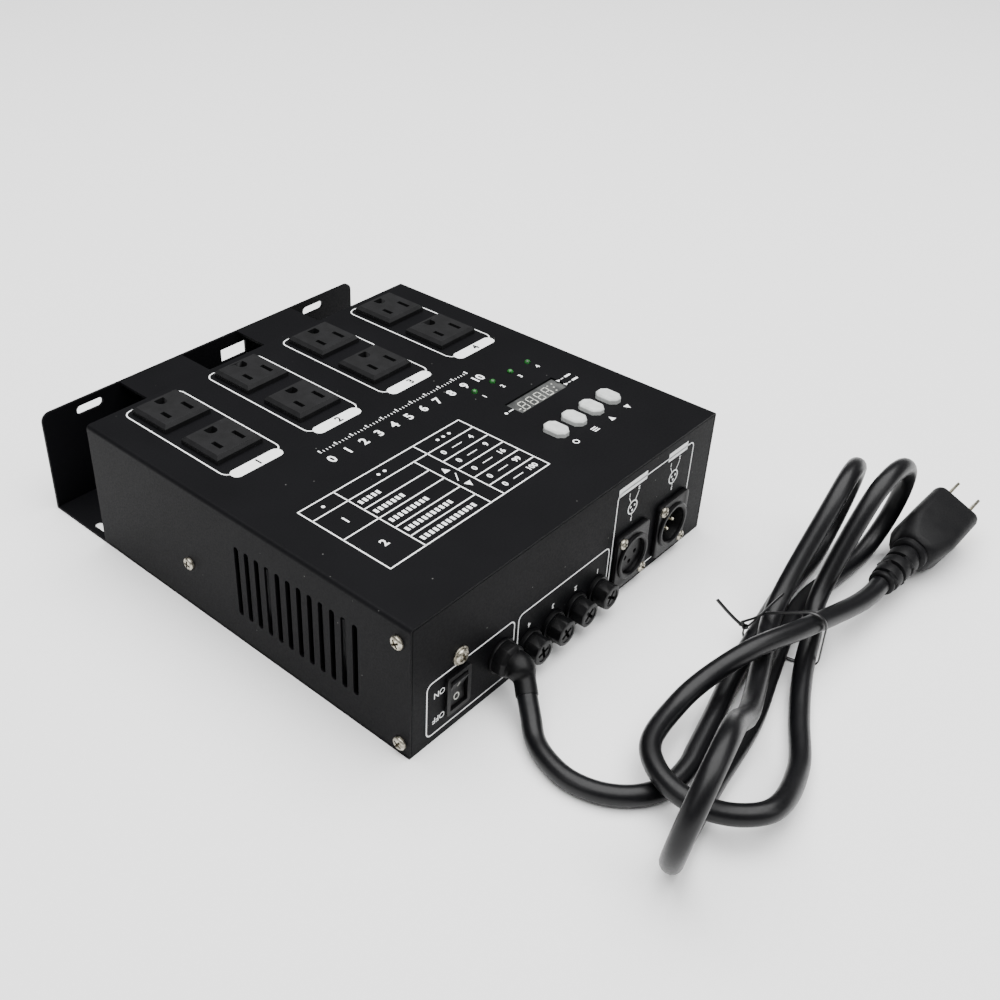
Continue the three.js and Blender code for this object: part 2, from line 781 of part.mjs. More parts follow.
function displayWindow() {
  const halfX = windowWidth / 2 - clearance;
  const halfY = windowDepth / 2 - clearance;
  const lipX = windowWidth / 2 + windowLip;
  const lipY = windowDepth / 2 + windowLip;
  return joined(
    block(-halfX, -halfY, -windowLipHeight, halfX, halfY, sheet),
    block(-lipX, -lipY, -windowLipHeight, lipX, lipY, 0),
  );
}

// Switch housing: frame on the panel and a body behind it, open at the front for the paddle
function rockerFrame() {
  const stand = rockerFrameStand;
  const frame = frontSlab(roundedShape(rockerFrameWidth, rockerFrameHeight, stand), stand, 0, -stand, 0);
  const halfX = rockerBodyWidth / 2;
  const halfZ = rockerBodyHeight / 2;
  const body = block(-halfX, -stand / 2, -halfZ, halfX, rockerBodyDepth, halfZ);
  const pocketX = rockerWidth / 2 + clearance;
  const pocketZ = rockerHalfHeight + 2 * clearance;
  const pocket = block(-pocketX, -stand - overrun, -pocketZ, pocketX, rockerPocketDepth, pocketZ);
  const pivotLength = rockerWidth + 2 * rockerPivotDepth + 2 * clearance;
  const pivot = rodZ(rockerPivot + 2 * clearance, pivotLength, 0, 0, -pivotLength / 2, 12);
  return cut(joined(frame, body), pocket, pivot.rotateY(Math.PI / 2).translate(0, rockerPivot, 0));
}

// Paddle: a shallow V with a pivot pin on each side, standing on its lower half
function rockerPaddle() {
  const profile = new THREE.Shape();
  const half = rockerHalfHeight - clearance;
  profile.moveTo(-rockerTipStand, half);
  profile.lineTo(-rockerCentreStand, 0);
  profile.lineTo(-rockerTipStand, -half);
  profile.lineTo(rockerPivot / 2, -half);
  profile.lineTo(rockerBack, -half / 2);
  profile.lineTo(rockerBack, half / 2);
  profile.lineTo(rockerPivot / 2, half);
  profile.closePath();
  const wedge = slab(profile, rockerWidth).translate(0, 0, -rockerWidth / 2);
  wedge.rotateX(Math.PI / 2).rotateZ(Math.PI / 2);
  const pinLength = rockerWidth + 2 * rockerPivotDepth;
  const pin = rodZ(rockerPivot, pinLength, 0, 0, -pinLength / 2, 12).rotateY(Math.PI / 2);
  return { wedge, pin };
}

function fuseHolder() {
  const flange = rodY(fuseFlange, fuseFlangeHeight, 0, -fuseFlangeHeight, 0, 20);
  const tube = rodY(fuseTube, fuseTubeLength, 0, -fuseFlangeHeight / 2, 0);
  const bore = rodY(fuseBore, fuseBoreDepth + fuseFlangeHeight + overrun, 0, -fuseFlangeHeight - overrun, 0);
  return cut(joined(flange, tube), bore);
}

function fuseCapPiece() {
  const knob = fuseCap / 2;
  const stem = fuseStem / 2;
  const body = turned([
    [0, -fuseCapLength], [knob - fuseCapEdge, -fuseCapLength], [knob, fuseCapEdge - fuseCapLength],
    [knob, 0], [stem, 0], [stem, fuseStemLength], [0, fuseStemLength],
  ], 16);
  const half = fuseCapSlot / 2;
  const slot = block(-knob, -fuseCapLength - overrun, -half, knob, fuseCapSlotDepth - fuseCapLength, half);
  return cut(body, slot);
}

function glassFusePiece() {
  const ferrule = glassFuse / 2;
  const tube = glassTube / 2;
  const far = glassFuseLength - glassFuseFerrule;
  return turned([
    [0, 0], [ferrule, 0], [ferrule, glassFuseFerrule], [tube, glassFuseFerrule],
    [tube, far], [ferrule, far], [ferrule, glassFuseLength], [0, glassFuseLength],
  ], 10);
}

// Connector shell: flange with its two screws and a barrel, open at the front
function xlrShell(mouthDepth) {
  const outline = roundedShape(xlrFlangeWidth, xlrFlangeHeight, xlrCorner);
  const flange = frontSlab(outline, xlrFlangeThickness, 0, -xlrFlangeThickness, 0);
  const barrel = rodY(xlrBarrel, xlrBarrelDepth, 0, -xlrFlangeThickness / 2, 0, 24);
  const face = -xlrFlangeThickness - xlrScrewHeight;
  const long = xlrScrewHeight + xlrFlangeThickness / 2;
  const screws = [-1, 1].map((side) => {
    return rodY(xlrScrewHead, long, side * xlrScrewX, face, -side * xlrScrewZ, 12);
  });
  const open = -xlrFlangeThickness - overrun;
  const mouth = rodY(xlrMouth, mouthDepth - open, 0, open, 0, 24);
  return cut(joined(flange, barrel, ...screws), mouth);
}

const pinPlaces = [[-xlrPinCircle, 0], [xlrPinCircle, 0], [0, -xlrPinCircle]];

function xlrFemaleInsert() {
  const face = xlrOutRecess - xlrFlangeThickness;
  const disc = rodY(xlrMouth - 2 * clearance, xlrMouthDepth, 0, face, 0, 24);
  const deep = xlrSocketDepth + overrun;
  const sockets = pinPlaces.map(([x, z]) => rodY(xlrSocket, deep, x, face - overrun, z, 8));
  return cut(disc, ...sockets);
}

function xlrMaleInsert() {
  const floor = xlrMouthDepth - xlrInsertDepth;
  const disc = rodY(xlrMouth - 2 * clearance, xlrInsertDepth - clearance, 0, floor, 0, 24);
  const tip = floor + clearance - xlrPinLength;
  const pins = pinPlaces.map(([x, z]) => rodY(xlrPin, xlrPinLength, x, tip, z, 8));
  return joined(disc, ...pins);
}

// Power board on posts, with its chokes and power switches soldered on
function powerBoard() {
  const low = powerBoardHeight;
  const parts = [block(powerBoardLeft, powerBoardFront, low, powerBoardRight, powerBoardRear, boardTop)];
  for (const x of [powerBoardLeft + boardPostInset, powerBoardRight - boardPostInset]) {
    for (const y of [powerBoardFront + boardPostInset, powerBoardRear - boardPostInset]) {
      parts.push(rodZ(boardPost, low + boardThickness / 2 - sheet, x, y, sheet, 8));
    }
  }
  const usable = powerBoardRight - powerBoardLeft;
  for (let i = 0; i < outletColumns; i += 1) {
    const x = powerBoardLeft + usable * (i + 1 / 2) / outletColumns;
    const ring = rodZ(chokeOuter, chokeHeight, x, chokeRowY, boardTop - boardThickness / 2);
    parts.push(cut(ring, rodZ(chokeInner, chokeHeight, x, chokeRowY, boardTop, 12)));
    const y = powerBoardFront + boardPost + boardPostInset + (i + 1 / 2) * (triacWidth + triacThickness / 2);
    parts.push(block(triacRowX, y - triacWidth / 2, low, triacRowX + triacThickness,
      y + triacWidth / 2, boardTop + triacHeight));
  }
  return joined(...parts);
}

// Finned heat sink beside the vents
function heatSink() {
  const parts = [block(heatSinkLeft + heatSinkWidth - heatSinkBase, heatSinkFront, sheet,
    heatSinkLeft + heatSinkWidth, heatSinkRear, heatSinkHeight)];
  const pitch = (heatSinkRear - heatSinkFront - heatSinkFin) / (heatSinkFins - 1);
  for (let i = 0; i < heatSinkFins; i += 1) {
    const y = heatSinkFront + i * pitch;
    parts.push(block(heatSinkLeft, y, sheet, heatSinkLeft + heatSinkWidth - heatSinkBase / 2,
      y + heatSinkFin, heatSinkHeight));
  }
  return joined(...parts);
}

function transformer() {
  const [coreX, coreY, coreZ] = transformerCore;
  const [coilX, coilY, coilZ] = transformerWindow;
  const middle = sheet + coreZ / 2;
  return joined(
    block(-coreX / 2, -coreY / 2, sheet, coreX / 2, coreY / 2, sheet + coreZ),
    block(-coilX / 2, -coilY / 2, middle - coilZ / 2, coilX / 2, coilY / 2, middle + coilZ / 2),
  );
}

// Collar on the panel, its barrel behind, and the tapered sleeve along the cord
function cordGland() {
  const [x, , z] = sleeveRoute[0];
  const wide = collarWidth / 2;
  const barrel = collarBarrel / 2;
  const collar = turned([
    [0, -collarLength], [wide - collarEdge, -collarLength], [wide, collarEdge - collarLength],
    [wide, 0], [barrel, 0], [barrel, collarBarrelDepth], [0, collarBarrelDepth],
  ], 16).translate(x, frontY, z);
  const path = smooth(sleeveRoute);
  const steps = 6;
  const centres = [];
  const directions = [];
  const diameters = [];
  for (let i = 0; i <= steps; i += 1) {
    centres.push(path.getPointAt(i / steps));
    directions.push(path.getTangentAt(i / steps));
    diameters.push(sleeveStart + (sleeveEnd - sleeveStart) * i / steps);
  }
  return joined(collar, tubeThrough(centres, directions, diameters, sleeveSides));
}

// A tube of one diameter along a smooth route
function cordTube(points, diameter, sides, steps) {
  const section = new THREE.Shape();
  for (let k = 0; k < sides; k += 1) {
    const angle = k * 2 * Math.PI / sides;
    const x = Math.cos(angle) * diameter / 2;
    const y = Math.sin(angle) * diameter / 2;
    if (k === 0) {
      section.moveTo(x, y);
    } else {
      section.lineTo(x, y);
    }
  }
  section.closePath();
  return new THREE.ExtrudeGeometry(section, { steps, bevelEnabled: false, extrudePath: smooth(points) });
}

// Points of one fold of the hank, on an arc about its own centre
function foldPoints({ tip, heading, lean, from, to, steps, bend }) {
  const turn = THREE.MathUtils.degToRad(heading);
  const tilt = THREE.MathUtils.degToRad(lean);
  const out = new THREE.Vector3(Math.cos(turn), Math.sin(turn), 0);
  const across = new THREE.Vector3(-Math.sin(turn), Math.cos(turn), 0).multiplyScalar(Math.cos(tilt));
  across.z = Math.sin(tilt);
  const centre = new THREE.Vector3(...tip).addScaledVector(out, -bend);
  const points = [];
  for (let k = 0; k <= steps; k += 1) {
    const angle = THREE.MathUtils.degToRad(from + (to - from) * k / steps);
    const point = centre.clone().addScaledVector(out, bend * Math.cos(angle));
    points.push(point.addScaledVector(across, bend * Math.sin(angle)).toArray());
  }
  return points;
}

const hankRoute = [
  ...firstRun, ...foldPoints(rightFold), ...secondRun, ...foldPoints(tailFold), ...thirdRun,
  ...foldPoints(outerFold), ...fourthRun, ...foldPoints(openLoop), ...fifthRun,
];

// Least gap of a tube to itself, on points of its centre line, away from its own neighbours
function leastGap(centres, diameter) {
  const points = [];
  const step = diameter / 4;
  for (let i = 0; i + 1 < centres.length; i += 1) {
    const pieces = Math.max(1, Math.round(centres[i].distanceTo(centres[i + 1]) / step));
    for (let k = 0; k < pieces; k += 1) {
      points.push(centres[i].clone().lerp(centres[i + 1], k / pieces));
    }
  }
  const skip = 10;
  let least = Infinity;
  for (let i = 0; i < points.length; i += 1) {
    for (let k = i + skip; k < points.length; k += 1) {
      least = Math.min(least, points[i].distanceTo(points[k]));
    }
  }
  return least - diameter;
}

function cordHank() {
  const path = smooth(hankRoute);
  const spans = hankRoute.length - 1;
  const centres = [];
  const directions = [];
  for (let i = 0; i <= spans; i += 1) {
    centres.push(path.getPoint(i / spans));
    directions.push(path.getTangent(i / spans));
  }
  console.log('least gap of the hank to itself, mm:', leastGap(centres, cordDiameter).toFixed(2));
  return tubeThrough(centres, directions, centres.map(() => cordDiameter), hankSides);
}

// Moulded plug: its cord axis is X, and its ground pin is below
function plugBody() {
  const from = clearance;
  const middle = plugReliefLength;
  const wide = plugReliefEnd / 2;
  const relief = turned([
    [0, from], [plugReliefStart / 2, from], [wide, middle], [wide, middle + overrun], [0, middle + overrun],
  ], 12).rotateZ(-Math.PI / 2);
  const width = plugBodyWidth - 2 * plugBodyBevel;
  const height = plugBodyHeight - 2 * plugBodyBevel;
  const section = roundedShape(width, height, plugBodyBevel);
  const body = new THREE.ExtrudeGeometry(section, {
    depth: plugBodyLength - 2 * plugBodyBevel,
    curveSegments: 3,
    bevelEnabled: true,
    bevelThickness: plugBodyBevel,
    bevelSize: plugBodyBevel,
    bevelSegments: 2,
  });
  body.rotateX(Math.PI / 2).rotateZ(Math.PI / 2);
  body.translate(middle + plugBodyBevel, 0, -plugBodyDrop);
  return joined(relief, body);
}

function plugBlade() {
  const tip = plugBladeLength - plugBladeEdge;
  const half = plugBladeHeight / 2;
  const outline = new THREE.Shape();
  outline.moveTo(0, -half);
  outline.lineTo(tip, -half);
  outline.lineTo(plugBladeLength, plugBladeEdge - half);
  outline.lineTo(plugBladeLength, half - plugBladeEdge);
  outline.lineTo(tip, half);
  outline.lineTo(0, half);
  outline.closePath();
  return slab(outline, plugBladeThickness).rotateX(Math.PI / 2).translate(0, plugBladeThickness / 2, 0);
}

function plugGroundPin() {
  const radius = plugPin / 2;
  return turned([
    [0, 0], [radius, 0], [radius, plugPinLength - plugPinTip], [radius / 2, plugPinLength],
    [0, plugPinLength],
  ], 12).rotateZ(-Math.PI / 2);
}

// Outline drawn tight round circles: across, height and reach of each, and a margin
function tightOutline(circles, margin) {
  const points = [];
  const sides = 24;
  for (const [x, y, reach] of circles) {
    for (let k = 0; k < sides; k += 1) {
      const angle = k * 2 * Math.PI / sides;
      points.push([x + Math.cos(angle) * (reach + margin), y + Math.sin(angle) * (reach + margin)]);
    }
  }
  points.sort((a, b) => a[0] - b[0] || a[1] - b[1]);
  const half = (list) => {
    const chain = [];
    for (const p of list) {
      while (chain.length > 1 && turnAt(chain[chain.length - 2], chain[chain.length - 1], p) <= 0) {
        chain.pop();
      }
      chain.push(p);
    }
    chain.pop();
    return chain;
  };
  const outline = [...half(points), ...half([...points].reverse())];
  return new THREE.Shape(outline.map(([x, y]) => new THREE.Vector2(x, y)));
}

function turnAt([ax, ay], [bx, by], [cx, cy]) {
  return (bx - ax) * (cy - ay) - (by - ay) * (cx - ax);
}

// Twisted wire tie: a band round the hank and its two ends, twisted together beside the first strand
function cordTie() {
  const band = tightOutline(tieStrands, tieThickness);
  band.holes.push(tightOutline(tieStrands, 0));
  const ring = slab(band, tieWidth).translate(0, 0, -tieWidth / 2);
  const [strandX, strandZ, reach] = tieStrands[0];
  const knotLean = THREE.MathUtils.degToRad(tieKnotLean);
  const knotX = strandX - Math.sin(knotLean) * (reach + tieThickness);
  const knotZ = strandZ + Math.cos(knotLean) * (reach + tieThickness);
  const half = tieTailWidth / 2;
  const tails = tieTails.map(([lean, length]) => {
    const tail = block(-half, -half, -half, half, length, half);
    return tail.rotateZ(THREE.MathUtils.degToRad(lean)).translate(knotX, knotZ, 0);
  });
  return joined(ring, ...tails).rotateX(Math.PI / 2).rotateZ(THREE.MathUtils.degToRad(tieHeading));
}

// Case
add('top_cover', topCover(), powderCoat);
add('base_pan', basePan(), powderCoat);
add('rear_panel', rearPanel(), powderCoat);
for (const [index, side] of [-1, 1].entries()) {
  for (const [number, [y, z]] of coverScrews.entries()) {
    const name = `${['left', 'right'][index]}_screw_${number + 1}`;
    const piece = screw(screwHead, screwHeadHeight, screwShank, screwLength);
    const mesh = add(name, piece.rotateZ(-side * Math.PI / 2), nickel);
    mesh.position.set(side * caseWidth / 2, y, z);
  }
}

// Outlets
for (const [column, x] of outletsX.entries()) {
  for (const [row, y] of outletsY.entries()) {
    add(`outlet_${column + 1}${['a', 'b'][row]}`, outlet(), outletPlastic).position.set(x, y, caseHeight);
  }
}

// Control panel
for (const [index, x] of keysX.entries()) {
  add(`led_${index + 1}`, led().rotateX(Math.PI / 2), greenLens).position.set(x, ledRowY, roof);
}
for (const [index, x] of buttonsX.entries()) {
  add(`button_${index + 1}`, button(), greyPlastic).position.set(x, buttonRowY, roof);
}
add('display_window', displayWindow(), tinted).position.set(windowX, windowY, roof);
const moduleTop = roof - windowLipHeight - clearance;
add('display_module', block(-moduleWidth / 2, -moduleDepth / 2, roof - controlBoardDrop + boardThickness,
  moduleWidth / 2, moduleDepth / 2, moduleTop), greyPlastic).position.set(windowX, windowY, 0);
add('control_board', controlBoard(), boardGreen);

// Front panel
add('rocker_frame', rockerFrame(), blackPlastic).position.set(rockerX, frontY, rockerZ);
const { wedge, pin } = rockerPaddle();
const paddle = add('rocker_paddle', joined(wedge, pin), blackPlastic);
paddle.position.set(rockerX, frontY + rockerPivot, rockerZ);
paddle.rotation.x = THREE.MathUtils.degToRad(rockerTilt);
for (const [index, x] of fusesX.entries()) {
  const capFrom = frontY - fuseFlangeHeight;
  const fuseFrom = capFrom + fuseStemLength + clearance;
  add(`fuse_holder_${index + 1}`, fuseHolder(), blackPlastic).position.set(x, frontY, fuseZ);
  add(`fuse_cap_${index + 1}`, fuseCapPiece(), blackPlastic).position.set(x, capFrom, fuseZ);
  add(`fuse_${index + 1}`, glassFusePiece(), glass).position.set(x, fuseFrom, fuseZ);
}
add('xlr_out_shell', xlrShell(xlrMouthDepth), blackPlastic).position.set(xlrOutX, frontY, xlrZ);
add('xlr_out_insert', xlrFemaleInsert(), blackPlastic).position.set(xlrOutX, frontY, xlrZ);
add('xlr_in_shell', xlrShell(xlrMouthDepth), blackPlastic).position.set(xlrInX, frontY, xlrZ);
add('xlr_in_insert', xlrMaleInsert(), nickel).position.set(xlrInX, frontY, xlrZ);
const rim = groundWasher / 2;
const terminal = joined(
  screw(groundScrewHead, groundScrewHeight, groundScrewShank, groundScrewLength),
  turned([[0, 0], [rim, 0], [rim, groundWasherHeight], [0, groundWasherHeight]], 16),
);
add('ground_screw', terminal.rotateZ(Math.PI), nickel).position.set(groundScrewX, frontY, groundScrewZ);

// Inside
add('power_board', powerBoard(), boardGreen);
add('heat_sink', heatSink(), aluminium);
add('transformer', transformer(), laminations).position.set(transformerX, transformerY, 0);
add('supply_wire', cordTube(wireRoute, wireDiameter, wireSides, wireSteps), redWire);

// Supply cord with its gland, plug and tie
add('cord_gland', cordGland(), blackPlastic);
add('cord_lead', cordTube(leadRoute, cordDiameter, cordSides, leadSteps), rubber);
add('cord_hank', cordHank(), rubber);
add('cord_tie', cordTie(), blackPlastic).position.set(tieX, tieY, 0);
const plugFace = plugReliefLength + plugBodyLength;
const plugPieces = [
  ['plug_body', plugBody(), rubber],
  ['plug_blade_left', plugBlade().translate(plugFace, bladeSpacing / 2, plugBladeRise), nickel],
  ['plug_blade_right', plugBlade().translate(plugFace, -bladeSpacing / 2, plugBladeRise), nickel],
  ['plug_ground_pin', plugGroundPin().translate(plugFace, 0, plugBladeRise - groundOffset), brass],
];
for (const [name, geometry, material] of plugPieces) {
  const mesh = add(name, geometry, material);
  mesh.position.set(plugX, plugY, plugAxisZ);
  mesh.rotation.x = THREE.MathUtils.degToRad(plugRoll);
}

export default model;
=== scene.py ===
"""Looks of a four channel dimmer pack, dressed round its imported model. Meshes and settings are in metres, +Z
up, and the helpers take millimetres."""
import math
from collections import namedtuple

import bmesh
import bpy
from bpy.props import FloatProperty, FloatVectorProperty, IntProperty, PointerProperty
from mathutils import Matrix, Vector


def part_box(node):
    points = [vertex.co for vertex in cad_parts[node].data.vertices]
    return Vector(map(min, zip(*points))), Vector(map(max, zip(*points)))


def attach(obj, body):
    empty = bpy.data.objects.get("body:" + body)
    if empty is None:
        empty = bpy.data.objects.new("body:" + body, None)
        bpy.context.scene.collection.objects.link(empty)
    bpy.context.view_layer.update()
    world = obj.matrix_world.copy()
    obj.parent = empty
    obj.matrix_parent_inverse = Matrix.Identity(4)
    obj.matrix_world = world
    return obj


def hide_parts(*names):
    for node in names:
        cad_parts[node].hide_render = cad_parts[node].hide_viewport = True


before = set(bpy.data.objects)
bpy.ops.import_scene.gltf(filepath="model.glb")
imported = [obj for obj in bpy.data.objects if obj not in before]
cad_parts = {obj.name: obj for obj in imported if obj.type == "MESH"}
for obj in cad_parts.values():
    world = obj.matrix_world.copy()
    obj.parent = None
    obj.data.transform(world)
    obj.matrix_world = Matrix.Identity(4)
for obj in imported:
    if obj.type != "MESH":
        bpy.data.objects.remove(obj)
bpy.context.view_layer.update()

bl_info = {
    "name": "Dimmer pack",
    "version": (1, 0, 0),
    "blender": (4, 5, 0),
    "location": "3D View > Sidebar > Dimmer pack",
    "description": "Dresses the packed dimmer pack: case, outlets, controls, cord, prints and stage",
    "category": "Object",
}

MM = 0.001

# Case planes in metres, from the frame
COVER_LOW, COVER_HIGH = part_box("top_cover")
ROOF = COVER_HIGH.z
FRONT = COVER_LOW.y
# The case's middle lies behind the frame's origin, by half of what the hanging plate reaches further than the
# fuses
MIDDLE_Y = (FRONT + COVER_HIGH.y) / 2


def linear(hex_colour):
    """An sRGB hex colour as linear RGBA."""
    channels = [int(hex_colour[i:i + 2], 16) / 255 for i in (1, 3, 5)]
    return [c / 12.92 if c <= 0.04045 else ((c + 0.055) / 1.055) ** 2.4 for c in channels] + [1.0]


# Settings that a user would change

def length(name, description, default):
    return FloatProperty(name=name, description=description, default=default * MM, unit="LENGTH")


def angle(name, description, default):
    return FloatProperty(name=name, description=description, default=math.radians(default), subtype="ANGLE")


def colour(name, description, default):
    return FloatVectorProperty(
        name=name, description=description, default=linear(default), size=4, subtype="COLOR")


class DimmerPackCase(bpy.types.PropertyGroup):
    """Case and fittings."""

    sheet_ease: length("Sheet edge", "Rounding of the folded sheet's edges", 0.2)
    plastic_ease: length("Plastic edge", "Rounding of the moulded pieces' edges", 0.3)
    coat: colour("Coat", "Colour of the powder coat", "#0b0b0d")
    outlet: colour("Outlets", "Colour of the outlets", "#141415")
    key: colour("Keys", "Colour of the keys", "#c3c6c4")


class DimmerPackPrint(bpy.types.PropertyGroup):
    """Printed lines and numbers."""

    ink: colour("Ink", "Colour of the print", "#f4f5f5")
    line: length("Line", "Width of the printed lines", 0.65)
    thickness: length("Ink film", "How far the ink stands", 0.04)


class DimmerPackCord(bpy.types.PropertyGroup):
    """Supply cord."""

    diameter: length("Diameter", "Diameter of the cord", 9)
    length: length("Length", "Length of the cord", 1415)
    jacket: colour("Jacket", "Colour of the jacket", "#08080a")
    sides: IntProperty(name="Sides", description="Bevel resolution of the round cord", default=6)


class DimmerPackStage(bpy.types.PropertyGroup):
    """Floor, light and camera."""

    lens: FloatProperty(name="Lens", description="Focal length in millimetres", default=42.79)
    azimuth: angle("Azimuth", "Camera turn about the vertical", -47.38)
    elevation: angle("Elevation", "Camera height angle", 33.62)
    roll: angle("Roll", "Camera roll", 0.55)
    floor: colour("Floor", "Colour of the floor", "#f7f7f7")


def chosen(group):
    """One group of the settings: case, print, cord or stage."""
    return getattr(bpy.context.scene, f"dimmer_pack_{group}")


# Materials

def add(tree, kind, feeds=None, **choices):
    """Adds one node, sets its choices, and feeds its inputs with values or with other nodes' outputs."""
    made = tree.nodes.new("ShaderNode" + kind)
    for name, value in choices.items():
        setattr(made, name, value)
    for name, value in (feeds or {}).items():
        socket = next(s for s in made.inputs if s.name == name and s.enabled)
        if isinstance(value, bpy.types.NodeSocket):
            tree.links.new(value, socket)
        else:
            socket.default_value = value
    return made


def pattern(tree, size, detail=2.0, roughness=0.5, stretch=None, waves=None):
    """A pattern of a size in millimetres on the object's own coordinates: noise, or waves along one axis."""
    place = add(tree, "TexCoord").outputs["Object"]
    if stretch:
        place = add(tree, "Mapping", {"Vector": place, "Scale": stretch}).outputs["Vector"]
    feeds = {"Vector": place, "Scale": 1 / (size * MM), "Detail": detail}
    if waves:
        axis, distortion = waves
        made = add(tree, "TexWave", {**feeds, "Distortion": distortion}, bands_direction=axis)
    else:
        made = add(tree, "TexNoise", {**feeds, "Roughness": roughness})
    return made.outputs["Fac"]


def specks(tree, plain, dust):
    """A colour with a few pale specks of dust on it, in cells of about 11 mm."""
    place = add(tree, "TexCoord").outputs["Object"]
    cells = add(tree, "TexVoronoi", {"Vector": place, "Scale": 1 / (11 * MM)}).outputs["Distance"]
    feeds = {"Value": cells, "From Min": 0.02, "From Max": 0.038, "To Min": 0.22, "To Max": 0.0}
    share = add(tree, "MapRange", feeds).outputs["Result"]
    mixed = add(tree, "Mix", {"Factor": share, "A": plain, "B": linear(dust)}, data_type="RGBA")
    return next(s for s in mixed.outputs if s.enabled)


def two_tones(tone):
    """Two hex colours made linear, or a setting's colour at two shares of its brightness."""
    if len(tone) == 2:
        return [linear(one) for one in tone]
    group, value, *shares = tone
    base = list(getattr(chosen(group), value))[:3]
    return [[min(1.0, channel * share) for channel in base] + [1.0] for share in shares]


